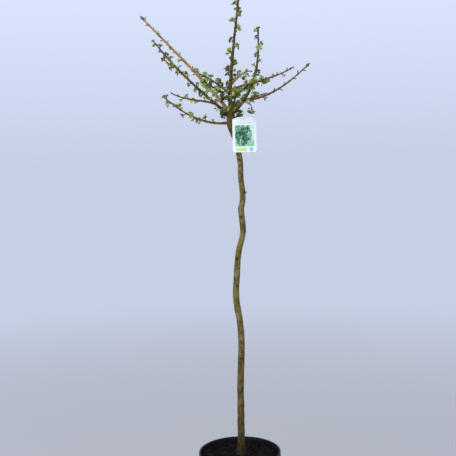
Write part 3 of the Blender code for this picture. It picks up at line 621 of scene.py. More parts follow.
def ringedSpur():  # a short shoot one metre long and wide, to be scaled
    size = spurSizes
    bm = bmesh.new()
    bmesh.ops.create_cone(bm, cap_ends=True, segments=size["sides"], radius1=1.0, radius2=size["taper"],
                          depth=1.0, matrix=Matrix.Translation((0, 0, 0.5)))
    sides = [edge for edge in bm.edges if abs(edge.verts[0].co.z - edge.verts[1].co.z) > 0.5]
    bmesh.ops.subdivide_edges(bm, edges=sides, cuts=size["rings"] * 2 - 1, use_grid_fill=True)
    levels = sorted({round(v.co.z, 4) for v in bm.verts})
    for v in bm.verts:  # every second ring is a groove between scars
        inner = levels.index(round(v.co.z, 4)) % 2
        v.co.x *= 1 - size["pinch"] * inner
        v.co.y *= 1 - size["pinch"] * inner
    return arraysOf(bm)


def pointedBud():  # an egg-shaped bud with scales, along Z, one metre long over its seat
    size = budSizes
    bm = bmesh.new()
    bmesh.ops.create_uvsphere(bm, u_segments=size["sides"], v_segments=size["rings"], radius=1.0)
    for v in bm.verts:
        up = (v.co.z + 1) / 2
        narrow = 1 - size["narrow"] * up**2
        ridge = 1 + size["ridge"] * math.sin(up * size["ridgeTurns"])
        v.co = Vector((v.co.x * narrow * ridge, v.co.y * narrow * ridge, up * size["reach"] - size["sunk"]))
    return arraysOf(bm)


def fanLeaf(draw):  # one notched fan on its stalk, along +Y with its face up
    size = leafSizes
    bm = bmesh.new()
    bmesh.ops.create_grid(bm, x_segments=size["rays"], y_segments=size["rings"], size=1.0)
    spread = size["halfSpread"] * draw.uniform(*size["spreads"])
    notch = size["notch"] * draw.uniform(*size["notches"])
    phase = draw.uniform(*anyTurn)
    fold = draw.uniform(*size["folds"])
    for v in bm.verts:  # the grid's rows become arcs, and its columns rays that fan out from the stalk
        across, out = v.co.x, (v.co.y + 1) / 2
        angle = across * spread
        edge = 1 - notch * math.exp(-(across / size["notchWidth"]) ** 2)
        edge += size["ripple"] * math.sin(across * size["ripples"] + phase)
        edge *= 1 - size["corner"] * across**4
        reach = size["blade"] * (size["root"] + (1 - size["root"]) * out) * (1 + (edge - 1) * out**2)
        v.co.x = reach * math.sin(angle)
        v.co.y = size["petiole"] + reach * math.cos(angle)
        wave = size["wave"] * math.sin(across * size["waves"] + phase) * out**2
        v.co.z = wave + size["cup"] * fold * (abs(across) ** size["cupPower"]) * out
    stalk = Matrix.Translation((0, size["petiole"] / 2, 0)) @ Matrix.Rotation(math.radians(90), 4, "X")
    bmesh.ops.create_cone(bm, cap_ends=False, segments=size["petioleSides"], radius1=size["petioleRadius"],
                          radius2=size["petioleRadius"] * size["petioleTaper"],
                          depth=size["petiole"] * size["petioleOverlap"], matrix=stalk)
    return arraysOf(bm)


def leafTuft(origin, direction, vigour, seed, shapes, tints, copies):  # leaves lean out round a spur's end
    size = tuftSizes
    draw = random.Random(seed)
    count = round(vigour * size["most"] * draw.uniform(*size["counts"]))
    count = max(size["least"], min(size["most"], count))
    tint = draw.choice(tints)
    whole = draw.uniform(*size["sizes"])
    start = draw.uniform(*anyTurn)
    spurTurn = turnedTo(direction)
    for leaf in range(count):
        turn = start + growth["goldenTurn"] * leaf + draw.uniform(-size["turnWander"], size["turnWander"])
        lean = math.radians(draw.uniform(*size["lean"]))
        side = spurTurn @ Vector((math.cos(turn), math.sin(turn), 0))
        along = direction * math.cos(lean) + side * math.sin(lean) + Vector((0, 0, size["lift"]))
        along.normalize()
        face = direction - side * size["faceIn"] + Vector((0, 0, size["faceUp"]))
        across = along.cross(face).normalized()
        up = across.cross(along).normalized()
        basis = Matrix((across, along, up)).transposed()
        long = whole * draw.uniform(*size["leafSizes"])
        long *= size["weakSize"] + size["vigourSize"] * min(1.0, vigour)
        wide = long * draw.uniform(*size["widths"])
        paint = tint if draw.random() < size["ownTint"] else draw.choice(tints)
        copies.append((*placed(draw.choice(shapes), origin, basis, (wide, long, long)), paint))


def makeSpursAndLeaves(spurPaints, leafPaints):
    shapeDraw = random.Random(leafSizes["shapeSeed"])
    leafShapes = [fanLeaf(shapeDraw) for _ in range(leafSizes["shapes"])]
    spurShape, budShape = ringedSpur(), pointedBud()
    tints = range(len(leafPaints))
    spurCopies, budCopies, leafCopies = [], [], []
    for shoot, line, spurs, seed in limbs:
        draw = random.Random(seed * spurSizes["seedStep"] + spurSizes["seedFrom"])
        tuftSeed = seed * tuftSizes["seedStep"]
        for number, (distance, around, vigour) in enumerate(spurs):
            root, ahead = placeOn(line, distance)
            direction = outward(ahead, around)
            share = distance / shoot.length
            length = growth["spurLength"][0] + (growth["spurLength"][1] - growth["spurLength"][0]) * share
            if distance < shoot.length * shoot.bare:
                length = radiusAt(shoot, distance) + spurSizes["innerReach"]
            wide = spurSizes["radius"] * draw.uniform(*spurSizes["widths"])
            wide *= spurSizes["weakWide"] + spurSizes["vigourWide"] * min(1.0, vigour)
            turn = turnedTo(direction, draw.uniform(*anyTurn))
            spurCopies.append((*placed(spurShape, root, turn, (wide, wide, length)), shoot.bark))
            end = root + direction * length
            leafy = share < 1 - growth["budShare"] or shoot.leafy > growth["leafyTip"]
            if leafy and vigour > tuftSizes["weakest"]:
                leafTuft(end - direction * budSizes["seat"], direction, vigour, tuftSeed + number,
                         leafShapes, tints, leafCopies)
                budWide = wide * budSizes["leafyWide"]
                budSize = (budWide, budWide, budSizes["length"] * budSizes["leafyShort"])
            else:
                budLength = budSizes["length"] * draw.uniform(*budSizes["lengths"])
                budSize = (budSizes["radius"], budSizes["radius"], budLength)
            budCopies.append((*placed(budShape, end, turn, budSize), draw.choice(budSizes["paints"])))
        tip, ahead = placeOn(line, shoot.length)
        seat = tip - ahead * budSizes["seat"]
        budCopies.append((*placed(budShape, seat, turnedTo(ahead), budSizes["tip"]), 0))
        if shoot.leafy < growth["clusterBelow"]:  # shoots with few leaves end in a knot of dark buds
            for number in range(growth["clusterBuds"]):
                turn = turnedTo(outward(ahead, growth["goldenTurn"] * number))
                root = placeOn(line, shoot.length - growth["clusterStep"] * number)[0]
                budCopies.append((*placed(budShape, root, turn, budSizes["cluster"]), 0))
        if shoot.leafy > growth["leafyTip"]:
            leafTuft(seat, ahead, shoot.leafy, tuftSeed + growth["tipSeed"], leafShapes, tints, leafCopies)
    # one live bud stands off the stem
    side = Vector((math.cos(budSizes["stemTurn"]), math.sin(budSizes["stemTurn"]), 0))
    root = trunkPlace(budSizes["stemHeight"]) + side * budSizes["stemRadius"]
    turn = turnedTo((side + Vector((0, 0, budSizes["stemRise"]))).normalized())
    budCopies.append((*placed(budShape, root, turn, budSizes["onStem"]), 0))
    sprays = [node for node in frame["nodes"] if node.startswith("spray_")]
    finishMesh("spurRings", joinedMesh("spurRings", spurCopies), spurPaints, sprays, 35)
    finishMesh("budScales", joinedMesh("budScales", budCopies), [budScale(), greenBud()], sprays,
               50)
    finishMesh("leafFans", joinedMesh("leafFans", leafCopies), leafPaints, sprays, 70)
    print("spurs", len(spurCopies), "leaves", len(leafCopies))


# Bud scales: dry, brown and slightly glossy
def budScale():
    return speckled("ginkgoBudScale", 0.5, 0.5, grain=1.111, detail=3.0,
                    stops=[(0.35, "#241a0d"), (0.68, "#6d4f28")], relief=(0.4, 0.0002))


# Opening bud: brown scales that part over a green point
def greenBud():
    return speckled("openingBud", 0.5, 0.5, grain=1.429, detail=3.0,
                    stops=[(0.38, "#33290f"), (0.62, "#59691d")])


leafColours = {  # dark and light, dealt out by tuft
    "freshLeaf": ("#64791a", "#93a835"),
    "midLeaf": ("#4d6316", "#70832a"),
    "deepLeaf": ("#2c3f0d", "#475a17"),
    "oliveLeaf": ("#555c14", "#7a8028"),
    "limeLeaf": ("#84991f", "#b0be42"),
}


# Young ginkgo leaf: soft, waxy and evenly green, with a satin sheen and very fine ribs
def youngLeaf(name, dark, light):
    made, tree, shader = startMaterial(name, 0.5, 0.45)
    place = addNode(tree, "TexCoord")
    mottle = addNode(tree, "TexNoise", {  # soft changes of green
        "Vector": place.outputs["Object"], "Scale": perMetre(3.85), "Detail": 3.0})
    colour = addNode(tree, "ValToRGB", {0: mottle.outputs[0]}, stops=[(0.3, dark), (0.7, light)])
    tree.links.new(colour.outputs[0], shader.inputs["Base Color"])
    ribs = addNode(tree, "TexNoise", {  # fine ribs
        "Vector": place.outputs["Object"], "Scale": perMetre(0.4167), "Detail": 2.0})
    bump = addNode(tree, "Bump", {"Height": ribs.outputs[0], "Strength": 0.25, "Distance": 0.0002})
    tree.links.new(bump.outputs[0], shader.inputs["Normal"])
    return made


# Pot: a thin moulded container with a deep band, a rolled rim and slots round its foot

potSizes = {
    "height": 0.252, "rim": 0.1325, "base": 0.105, "wall": 0.0018, "band": 0.020, "bandStep": 0.0035,
    "bandRound": 0.0006, "bandLip": 0.001, "bandDrop": 0.0004, "bandFree": 0.002, "weld": 0.00001,
    "rimFrom": 0.2, "rimTo": 0.1, "rimRound": 0.0012, "rimFlat": 0.004, "rimRows": 9, "steps": 180,
    "insideFoot": 0.004, "insideTop": 0.0015, "insideRows": 24, "outsideFoot": 0.004, "outsideRows": 50,
    "ringHeights": (0.060, 0.196), "ringDepth": 0.0006, "ringWide": 0.0016, "ringEdge": 0.0012,
    "foot": [  # inset and height
        (0.0004, 0.0022), (0.0016, 0.0005), (0.003, 0.0), (0.016, 0.0), (0.018, 0.0012)],
    "footMiddle": 0.030, "slots": 8, "slotFoot": 0.003, "slotHeight": 0.012, "slotTurn": 0.16,
    "slotDepth": 0.0022, "slotPress": 0.6,
}


def potRadius(height):  # radius of the wall under its rim band
    top = potSizes["rim"] - potSizes["bandStep"]
    return potSizes["base"] + (top - potSizes["base"]) * height / potSizes["height"]


def potProfile():  # up the inside, over the rolled rim, down the outside and in under the foot
    size = potSizes
    bandFoot = size["height"] - size["band"]
    inner = potRadius(size["height"]) - size["wall"]
    middle = (inner + size["rim"]) / 2
    half = (size["rim"] - inner) / 2
    profile = [(0.0, size["wall"]), (size["base"] - 2 * size["wall"], size["wall"])]
    insideHeights = np.linspace(size["insideFoot"], size["height"] - size["insideTop"], size["insideRows"])
    profile += [(potRadius(height) - size["wall"], height) for height in insideHeights]
    for turn in np.linspace(size["rimFrom"], math.pi - size["rimTo"], size["rimRows"]):
        height = size["height"] - size["rimRound"] + size["rimRound"] * math.sin(turn)
        profile.append((middle - half * math.cos(turn), height))
    profile += [(size["rim"], size["height"] - size["rimFlat"]), (size["rim"], bandFoot + size["bandLip"]),
                (size["rim"] - size["bandRound"], bandFoot),
                (potRadius(bandFoot) + size["bandRound"], bandFoot - size["bandDrop"])]
    heights = [*np.linspace(size["outsideFoot"], bandFoot - size["bandFree"], size["outsideRows"])]
    heights += [ring + side for ring in size["ringHeights"] for side in (-size["ringEdge"], size["ringEdge"])]
    for height in sorted(heights, reverse=True):
        groove = sum(math.exp(-((height - ring) / size["ringWide"]) ** 2) for ring in size["ringHeights"])
        profile.append((potRadius(height) - size["ringDepth"] * groove, height))
    profile += [(size["base"] - inset, height) for inset, height in size["foot"]]
    underside = size["foot"][-1][1]
    return profile + [(size["footMiddle"], underside), (0.0, underside)]


def makePot(paint):
    size = potSizes
    bm = bmesh.new()
    spots = [bm.verts.new((radius, 0.0, height)) for radius, height in potProfile()]
    edges = [bm.edges.new(pair) for pair in zip(spots, spots[1:])]
    bmesh.ops.spin(bm, geom=[*spots, *edges], cent=(0, 0, 0), axis=(0, 0, 1), angle=fullTurn,
                   steps=size["steps"], use_merge=True)
    bmesh.ops.remove_doubles(bm, verts=bm.verts, dist=size["weld"])
    bmesh.ops.recalc_face_normals(bm, faces=bm.faces)
    for v in bm.verts:  # drain slots are pressed into the outside of the foot
        radius = math.hypot(v.co.x, v.co.y)
        turn = (math.atan2(v.co.y, v.co.x) % (fullTurn / size["slots"])) - math.pi / size["slots"]
        outside = radius > potRadius(v.co.z) - size["wall"] / 2
        if outside and size["slotFoot"] < v.co.z < size["slotHeight"] and abs(turn) < size["slotTurn"] / 2:
            v.co.x *= 1 - size["slotDepth"] / radius * size["slotPress"]
            v.co.y *= 1 - size["slotDepth"] / radius * size["slotPress"]
    finishPiece("potShell", bm, [paint], ["pot"], 40)


# Recycled black polypropylene: injection moulded and satin, with faint scuffs and dried splashes of mix
def potPlastic():
    made, tree, shader = startMaterial("recycledPolypropylene", 0.55, 0.2)
    place = addNode(tree, "TexCoord")
    dust = addNode(tree, "TexNoise", {  # clouds of dust
        "Vector": place.outputs["Object"], "Scale": perMetre(38.5), "Detail": 6.0, "Roughness": 0.68})
    stretch = addNode(tree, "Mapping", {"Vector": place.outputs["Object"], "Scale": (1.0, 1.0, 14.0)})
    scuffs = addNode(tree, "TexNoise", {  # handling scuffs that run round the wall
        "Vector": stretch.outputs[0], "Scale": perMetre(22.7), "Detail": 4.0, "Roughness": 0.6})
    low = addNode(tree, "SeparateXYZ", {0: place.outputs["Object"]})
    splash = addNode(tree, "MapRange", {0: low.outputs["Z"], 1: 0.0, 2: 0.07, 3: 1.0, 4: 0.25})
    dusty = addNode(tree, "ValToRGB", {0: dust.outputs[0]}, stops=[(0.50, 0.0), (0.80, 0.7)])
    amount = addNode(tree, "Math", {0: splash.outputs[0], 1: dusty.outputs[0]}, operation="MULTIPLY")
    base = addNode(tree, "ValToRGB", {0: scuffs.outputs[0]}, stops=[(0.45, "#080807"), (0.75, "#141311")])
    colour = addNode(tree, "Mix", {0: amount.outputs[0], 6: base.outputs[0], 7: linear("#2e2720")},
                     data_type="RGBA")
    tree.links.new(colour.outputs[2], shader.inputs["Base Color"])
    rough = addNode(tree, "MapRange", {0: dust.outputs[0], 1: 0.3, 2: 0.7, 3: 0.46, 4: 0.68})
    tree.links.new(rough.outputs[0], shader.inputs["Roughness"])
    grain = addNode(tree, "TexNoise", {  # moulded grain, drawn coarser than the real one so that it shows
        "Vector": place.outputs["Object"], "Scale": perMetre(1.111), "Detail": 2.0})
    bump = addNode(tree, "Bump", {"Height": grain.outputs[0], "Strength": 0.12, "Distance": 0.0002})
    tree.links.new(bump.outputs[0], shader.inputs["Normal"])
    return made


# Potting mix: a lumpy top with loose chips of bark on it

mixSizes = {
    "top": 0.237, "foot": 0.0021, "gap": 0.0003, "footInset": 0.0016, "edgeDrop": 0.002, "rings": 70,
    "sides": 128, "lumps": 0.0022, "lumpScale": 95, "lumpNoise": (0.9, 2.0, 4), "lumpLimits": (-0.8, 1.1),
    "mound": 0.0012,
}
chipSizes = {
    "count": 900, "seed": 5, "size": (0.0100, 0.0055, 0.0016), "sizes": (0.35, 1.15), "rough": 0.16,
    "reach": 0.965, "turns": (0, 6.283), "tilt": 0.5, "lift": 0.0004, "freeOfStem": 0.0185,
    "paints": (0, 0, 0, 1),  # three dark chips to each pale one
}


def mixHeight(x, y):  # the lumpy surface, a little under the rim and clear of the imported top
    low, high = mixSizes["lumpLimits"]
    place = Vector((x * mixSizes["lumpScale"], y * mixSizes["lumpScale"], 0.4))
    lumps = noise.fractal(place, *mixSizes["lumpNoise"])
    return mixSizes["top"] + mixSizes["lumps"] * max(low, min(high, lumps)) + mixSizes["mound"]


def makeMix(paint):
    size = mixSizes
    edge = potRadius(size["top"]) - potSizes["wall"] - size["gap"] * 2
    foot = potRadius(size["foot"]) - potSizes["wall"] - size["footInset"]
    radii = np.array([0.0, foot, edge, *np.linspace(edge, 0.0, size["rings"])[1:]])
    levels = [size["foot"], size["foot"], size["top"] - size["edgeDrop"]]  # the lumps give the other heights

    def placesOf(row, theta):
        x, y = radii[row] * np.cos(theta), radii[row] * np.sin(theta)
        z = np.array([levels[j] if j < len(levels) else mixHeight(a, b) for j, a, b in zip(row, x, y)])
        return np.stack([x, y, z], 1), {}

    bm = wrappedGrid(len(radii), size["sides"], placesOf)
    finishPiece("pottingMix", bm, [paint], ["root_ball"], 60)
    return edge


def makeChips(edge, paints):
    size = chipSizes
    draw = random.Random(size["seed"])
    bm = bmesh.new()
    bmesh.ops.create_cube(bm, size=1.0)
    bmesh.ops.subdivide_edges(bm, edges=bm.edges, cuts=1, use_grid_fill=True)
    for v in bm.verts:
        v.co += Vector([draw.uniform(-size["rough"], size["rough"]) for _ in range(3)])
    shape = arraysOf(bm)
    stemX, stemY = trunkSizes["bends"][0][1:3]
    copies = []
    while len(copies) < size["count"]:
        radius = edge * math.sqrt(draw.random()) * size["reach"]
        turn = draw.uniform(*size["turns"])
        x, y = radius * math.cos(turn), radius * math.sin(turn)
        if math.hypot(x - stemX, y - stemY) < size["freeOfStem"]:
            continue
        tilt = Matrix.Rotation(draw.uniform(-size["tilt"], size["tilt"]), 3, "X")
        tilt = tilt @ Matrix.Rotation(draw.uniform(*anyTurn), 3, "Z")
        scale = np.array(size["size"]) * draw.uniform(*size["sizes"])
        place = (x, y, mixHeight(x, y) + size["lift"])
        copies.append((*placed(shape, place, tilt, scale), draw.choice(size["paints"])))
    finishMesh("barkChips", joinedMesh("barkChips", copies), paints, ["root_ball"], 30)


# Moist bark and peat mix: dark, crumbly and matt, its near-black colour partly its own and partly painted
# shade from the pot's walls
def pottingMix():
    return speckled("shadedBarkAndPeatMix", 0.95, 0.06, grain=2.38, detail=6.0, torn=0.7,
                    # near-black stops: the mix's own dark brown with painted shade from the pot's walls on it
                    stops=[(0.34, "#030201"), (0.76, "#140e09"), (0.56, "#080503")], relief=(0.9, 0.0016))


shadedChipColours = {  # dark and light, the chips' own tones pushed towards black as painted shade from the pot's walls
    "shadedDarkBarkChip": ("#050302", "#100a06"),
    "shadedPaleBarkChip": ("#130d08", "#281d13"),
}


# Pine bark chip: matt, with torn fibres, its colours darkened towards black as painted shade inside the pot
def barkChip(name, dark, light):
    return speckled(name, 0.9, 0.1, grain=1.923, detail=4.0,
                    stops=[(0.35, dark), (0.7, light)], relief=(0.6, 0.0006))


# Hang tag: a glossy card with an arched top, a reinforced hole and a plain generic print, on a twisted cord

tagSizes = {
    "width": 0.074, "height": 0.110, "arch": 0.005, "corner": 0.007, "thickness": 0.0008, "edge": 0.00018,
    "top": Vector((0.036, -0.0145, 1.328)), "holeBelow": 0.0065, "hole": 0.0022, "holeTurn": 345,
    "holeSteps": 23, "collar": 1.9, "collarFree": 1.06, "ink": 0.00006, "inkEdge": 0.00001,
    "picture": (-0.0305, 0.0305, -0.0925, -0.0260, 0.0030),  # left, right, low, high and corner
    "lime": (-0.0290, 0.0075, -0.1072, -0.0952, 0.0058),
    "band": (-0.0235, 0.0235, -0.0215, -0.0185, 0.0014),
    "dotMiddle": (0.0208, -0.1012), "dotRadius": 0.0063, "dotTurn": 350, "dotSteps": 35,
    "cornerSteps": 8, "archSteps": 24, "patchSteps": 6, "weld": 0.000002,
}


def arc(centre, radius, start, stop, steps):
    for i in range(steps + 1):
        angle = math.radians(start + (stop - start) * i / steps)
        yield centre[0] + radius * math.cos(angle), centre[1] + radius * math.sin(angle)


def tagOutline():  # the card's outline, with its arched top's middle at (0, 0)
    size = tagSizes
    inner = size["width"] / 2 - size["corner"]
    foot = size["corner"] - size["height"]
    shoulder = -size["arch"] - size["corner"]
    bow = (inner**2 + size["arch"]**2) / (2 * size["arch"])
    reach = math.degrees(math.asin(inner / bow))
    bend, steps = size["corner"], size["cornerSteps"]
    yield from arc((-inner, foot), bend, 180, 270, steps)
    yield from arc((inner, foot), bend, 270, 360, steps)
    yield from arc((inner, shoulder), bend, 0, 90 - reach, steps)
    yield from list(arc((0, -bow), bow, 90 - reach, 90 + reach, size["archSteps"]))[1:-1]
    yield from arc((-inner, shoulder), bend, 90 + reach, 180, steps)


def roundedPatch(left, right, low, high, corner):  # a flat rectangle with round corners
    for start, x, y in [(180, left + corner, low + corner), (270, right - corner, low + corner),
                        (0, right - corner, high - corner), (90, left + corner, high - corner)]:
        yield from arc((x, y), corner, start, start + 90, tagSizes["patchSteps"])


def flatPiece(name, outlines, thickness, edge, front, paint):  # outlines filled flat, in front of the card
    shape = bpy.data.curves.new(name, "CURVE")
    shape.dimensions = "2D"
    shape.fill_mode = "BOTH"
    shape.extrude = thickness / 2 - edge
    shape.bevel_depth = edge
    shape.bevel_resolution = 2
    shape.offset = -edge
    for outline in outlines:
        spots = list(outline)
        line = shape.splines.new("POLY")
        line.points.add(len(spots) - 1)
        for spot, (sideways, height) in zip(line.points, spots):
            spot.co = (sideways, height, 0.0, 1.0)
        line.use_cyclic_u = True
    guide = bpy.data.objects.new(name + "Line", shape)
    bpy.context.scene.collection.objects.link(guide)
    bpy.context.view_layer.update()
    mesh = bpy.data.meshes.new_from_object(guide.evaluated_get(bpy.context.evaluated_depsgraph_get()))
    bpy.data.objects.remove(guide, do_unlink=True)
    upright = Matrix.Rotation(math.radians(90), 4, "X")
    bm = bmesh.new()
    bm.from_mesh(mesh)
    bmesh.ops.remove_doubles(bm, verts=bm.verts, dist=tagSizes["weld"])
    bmesh.ops.transform(bm, matrix=Matrix.Translation(tagSizes["top"] + Vector((0, -front, 0))) @ upright,
                        verts=bm.verts)
    bpy.data.meshes.remove(mesh)
    finishPiece(name, bm, [paint], ["hang_tag"], 30)


def makeTag():
    size = tagSizes

    def ring(radius):  # a round line about the hole
        return arc((0, -size["holeBelow"]), radius, 0, size["holeTurn"], size["holeSteps"])

    card = [tagOutline(), ring(size["hole"])]
    flatPiece("hangTagCard", card, size["thickness"], size["edge"], 0.0, tagCard())
    collar = [ring(size["hole"] * size["collar"]), ring(size["hole"] * size["collarFree"])]
    dot = arc(size["dotMiddle"], size["dotRadius"], 0, size["dotTurn"], size["dotSteps"])
    for name, outlines, thickness, paint in [
        ("tagHoleRing", collar, size["ink"] * 2, plainInk("whiteHoleRing", "#dfe9ee", 0.3)),
        ("tagPicture", [roundedPatch(*size["picture"])], size["ink"], tagPicture()),
        ("tagLimePatch", [roundedPatch(*size["lime"])], size["ink"], plainInk("limeInk", "#c3e078", 0.38)),
        ("tagBluePatch", [dot], size["ink"], plainInk("skyBlueInk", "#6fbfdd", 0.38)),
        ("tagPaleBand", [roundedPatch(*size["band"])], size["ink"], plainInk("paleMintInk", "#cfe6dc", 0.38)),
    ]:
        flatPiece(name, outlines, thickness, size["inkEdge"], size["thickness"] / 2 + size["ink"] / 2, paint)


# Laminated polypropylene card: bright white and glossy, very slightly uneven
def tagCard():
    return speckled("laminatedCard", 0.28, 0.5, grain=16.7, detail=2.0,
                    stops=[(0.3, "#eef3f4"), (0.7, "#f7fafa")], relief=(0.15, 0.0006))


# Printed ink: flat and even under the laminate's gloss, in fine dots
def plainInk(name, hexColour, roughness):
    made, tree, shader = startMaterial(name, roughness)
    place = addNode(tree, "TexCoord")
    dots = addNode(tree, "TexNoise", {  # drawn coarser than real print dots so that they show
        "Vector": place.outputs["Object"], "Scale": perMetre(0.5556), "Detail": 1.0})
    shade = addNode(tree, "MapRange", {0: dots.outputs[0], 1: 0.3, 2: 0.7, 3: 0.0, 4: 0.12})
    colour = addNode(tree, "Mix", {0: shade.outputs[0], 6: linear(hexColour), 7: (1, 1, 1, 1)},
                     data_type="RGBA")
    tree.links.new(colour.outputs[2], shader.inputs["Base Color"])
    return made


# Printed picture: a generic blur of light and dark leaves that gives the tag its mottled green
def tagPicture():
    made, tree, shader = startMaterial("mottledGreenPrint", 0.32)
    place = addNode(tree, "TexCoord")
    centred = addNode(tree, "Mapping", {
        "Vector": place.outputs["Object"], "Location": (-0.030, 0.0145, -1.272)})
    leaves = addNode(tree, "TexNoise", {  # printed leaves
        "Vector": centred.outputs[0], "Scale": perMetre(4.35), "Detail": 4.0})
    clumps = addNode(tree, "TexNoise", {  # and their clumps
        "Vector": centred.outputs[0], "Scale": perMetre(11.8), "Detail": 3.0})
    squash = addNode(tree, "Mapping", {"Vector": centred.outputs[0], "Scale": (30.0, 30.0, 24.0)})
    middle = addNode(tree, "TexGradient", {"Vector": squash.outputs[0]}, gradient_type="SPHERICAL")
    ragged = addNode(tree, "Math", {0: clumps.outputs[0], 1: 0.75}, operation="MULTIPLY")
    body = addNode(tree, "Math", {0: middle.outputs[0], 1: ragged.outputs[0]}, operation="ADD")
    inside = addNode(tree, "ValToRGB", {0: body.outputs[0]}, stops=[(0.42, 0.0), (0.50, 1.0)])
    both = addNode(tree, "Math", {0: leaves.outputs[0], 1: clumps.outputs[0]}, operation="ADD")
    core = addNode(tree, "Math", {0: middle.outputs[0], 1: -0.16, 2: 0.03}, operation="MULTIPLY_ADD")
    shade = addNode(tree, "Math", {0: both.outputs[0], 1: 0.5, 2: core.outputs[0]}, operation="MULTIPLY_ADD")
    greens = addNode(tree, "ValToRGB", {0: shade.outputs[0]}, stops=[
        (0.38, "#1a3c2c"), (0.60, "#cbe8d3"), (0.45, "#3a7a5a"), (0.52, "#86bf9c")])
    ground = addNode(tree, "SeparateXYZ", {0: centred.outputs[0]})
    sky = addNode(tree, "MapRange", {0: ground.outputs["Z"], 1: -0.035, 2: 0.035, 3: 0.0, 4: 1.0})
    back = addNode(tree, "ValToRGB", {0: sky.outputs[0]}, stops=[
        (0.15, "#8fc7a2"), (0.9, "#cfe6e0"), (0.45, "#e6f3ea")])
    colour = addNode(tree, "Mix", {0: inside.outputs[0], 6: back.outputs[0], 7: greens.outputs[0]},
                     data_type="RGBA")
    tree.links.new(colour.outputs[2], shader.inputs["Base Color"])
    return made


# Tag cord: a closed loop of twine over the right-hand shoot and through the hole, with a knot

cordSizes = {
    "radius": 0.0006, "bend": 0.0030, "limbPlace": 0.052, "clear": 0.0008, "gap": 0.0003, "limbSteps": 16,
    "bendSteps": 14, "rows": 260, "sides": 12, "strandTurns": 70, "strand": 0.86, "strandSwell": 0.14,
    "knot": 0.0015, "knotShare": 0.35, "knotLumps": 0.22, "knotLobes": 3, "knotTwist": 2200,
    "knotSides": 14, "knotRings": 10,
}


def makeCord(paint):
    size = cordSizes
    limb, ahead = placeOn(lines["right_tall"], size["limbPlace"])
    wide = radiusAt(shoots["right_tall"], size["limbPlace"]) + size["clear"] + size["radius"]
    high = wide / math.cos(math.asin(abs(ahead.z)))
    hole = tagSizes["top"] - Vector((0, 0, tagSizes["holeBelow"]))
    low = hole + Vector((0, 0, tagSizes["hole"] - size["radius"] - size["gap"] + size["bend"]))
    points = [limb + Vector((0, y * wide, z * high)) for y, z in arc((0, 0), 1.0, 0, 180, size["limbSteps"])]
    points += [low + Vector((0, y * size["bend"], z * size["bend"]))
               for y, z in arc((0, 0), 1.0, 180, 360, size["bendSteps"])]
    points.append(points[0])
    total = sum((b - a).length for a, b in zip(points, points[1:]))
    distances = np.linspace(0, total, size["rows"])
    centres, firsts, seconds = ringFrames(points, distances)
    knot = points[size["limbSteps"] + 1].lerp(points[size["limbSteps"]], size["knotShare"])

    def placesOf(row, theta):  # two strands laid together
        strands = np.cos(2 * (theta - distances[row] / total * math.pi * size["strandTurns"]))
        out = size["radius"] * (size["strand"] + size["strandSwell"] * strands)
        flat = np.cos(theta)[:, None] * firsts[row] + np.sin(theta)[:, None] * seconds[row]
        return centres[row] + flat * out[:, None], {}

    bm = wrappedGrid(size["rows"], size["sides"], placesOf)
    ball = bmesh.ops.create_uvsphere(bm, u_segments=size["knotSides"], v_segments=size["knotRings"],
                                     radius=size["knot"], matrix=Matrix.Translation(knot))
    for v in ball["verts"]:
        away = v.co - knot
        turn = math.atan2(away.y, away.x) * size["knotLobes"] + away.z * size["knotTwist"]
        v.co = knot + away * (1 + size["knotLumps"] * math.sin(turn))
    finishPiece("tagLoop", bm, [paint], ["tag_cord"], 60)


# Polypropylene twine: white and slightly glossy
def twine():
    return speckled("whiteTwine", 0.45, 0.5, grain=0.6667, detail=2.0,
                    stops=[(0.35, "#c4c5bf"), (0.65, "#ebebe4")])


# Stage: a pale floor that fades into the backdrop far away, soft lights and the camera

stageSizes = {
    "backdropLow": "#c6cfe4", "backdropHigh": "#dce6ff", "backdropRise": 0.22, "floor": "#aeadac",
    "radius": 60.0, "sides": 96,
    "fadeFrom": 0.7, "fadeTo": 4.2,
    "lights": [  # name, place, power and size
        ("windowLight", (-2.0, -2.8, 3.0), 105.0, 2.2),
        ("fillLight", (2.8, -1.8, 1.8), 4.0, 2.4),
        ("backLight", (0.8, 2.8, 3.0), 26.0, 2.4),
    ],
    "lightsAim": (0, 0, 1.0),
    "cameraPlace": (-0.022, -2.40, 1.19), "pitch": 5.0, "roll": 1.3, "lens": 60.0, "sensor": 36.0,
}


def makeBackdrop():
    size = stageSizes
    world = bpy.data.worlds.new("paleStudio")
    bpy.context.scene.world = world
    world.use_nodes = True
    tree = world.node_tree
    up = addNode(tree, "SeparateXYZ", {0: addNode(tree, "TexCoord").outputs["Generated"]})
    sky = addNode(tree, "ValToRGB", {0: up.outputs["Z"]}, stops=[
        (0.0, size["backdropLow"]), (size["backdropRise"], size["backdropHigh"])])
    tree.links.new(sky.outputs[0], tree.nodes["Background"].inputs["Color"])


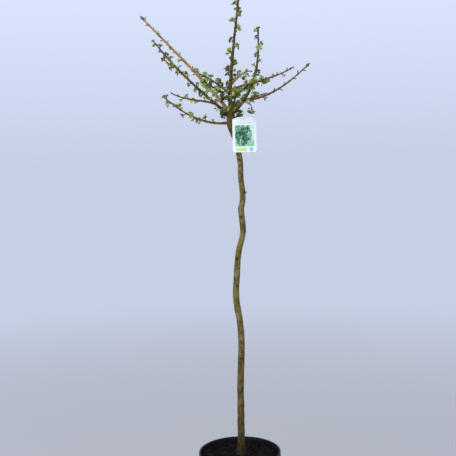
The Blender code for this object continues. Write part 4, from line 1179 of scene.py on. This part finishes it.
def makeFloor():
    size = stageSizes
    bm = bmesh.new()
    bmesh.ops.create_circle(bm, cap_ends=True, segments=size["sides"], radius=size["radius"])
    mesh = bpy.data.meshes.new("studioFloor")
    bm.to_mesh(mesh)
    bm.free()
    floor = bpy.data.objects.new("studioFloor", mesh)
    bpy.context.scene.collection.objects.link(floor)
    made, tree, shader = startMaterial("paleMattFloor", 0.9, 0.1)
    shader.inputs["Base Color"].default_value = linear(size["floor"])
    place = addNode(tree, "TexCoord")
    far = addNode(tree, "VectorMath", {0: place.outputs["Object"]}, operation="LENGTH")
    fade = addNode(tree, "MapRange", {0: far.outputs["Value"], 1: size["fadeFrom"], 2: size["fadeTo"]},
                   interpolation_type="SMOOTHSTEP")
    glow = addNode(tree, "Emission", {0: linear(size["backdropLow"]), 1: 1.0})
    both = addNode(tree, "MixShader", {0: fade.outputs[0], 1: shader.outputs[0], 2: glow.outputs[0]})
    tree.links.new(both.outputs[0], tree.nodes["Material Output"].inputs["Surface"])
    mesh.materials.append(made)
    floor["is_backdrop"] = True


def makeLights():
    for name, place, power, width in stageSizes["lights"]:
        light = bpy.data.lights.new(name, "AREA")
        light.energy = power
        light.size = width
        lamp = bpy.data.objects.new(name, light)
        lamp.location = place
        lamp.rotation_mode = "QUATERNION"
        lamp.rotation_quaternion = (Vector(stageSizes["lightsAim"]) - Vector(place)).to_track_quat("-Z", "Y")
        bpy.context.scene.collection.objects.link(lamp)


def makeCamera():
    view = bpy.data.cameras.new("camera")
    view.lens = stageSizes["lens"]
    view.sensor_width = stageSizes["sensor"]
    camera = bpy.data.objects.new("camera", view)
    camera.matrix_world = (
        Matrix.Translation(stageSizes["cameraPlace"])
        @ Matrix.Rotation(math.radians(90 - stageSizes["pitch"]), 4, "X")
        @ Matrix.Rotation(-math.radians(stageSizes["roll"]), 4, "Z")
    )
    bpy.context.scene.collection.objects.link(camera)
    bpy.context.scene.camera = camera


bpy.context.scene.view_settings.view_transform = "Standard"
makeBackdrop()
makeFloor()
makeLights()
makeCamera()
print("stage ready")
growLimbs()
makeTrunk(stemBark())
barks = [youngBark(name, *colours) for name, colours in barkColours.items()]
makeShoots(barks)
makeSpursAndLeaves(barks, [youngLeaf(name, *colours) for name, colours in leafColours.items()])
makePot(potPlastic())
mixEdge = makeMix(pottingMix())
makeChips(mixEdge, [barkChip(name, *colours) for name, colours in shadedChipColours.items()])
makeTag()
makeCord(twine())
print("plant ready")

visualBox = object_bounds()
print("boxes", [round(v * 1000, 1) for corner in (*cadBox, *visualBox) for v in corner])
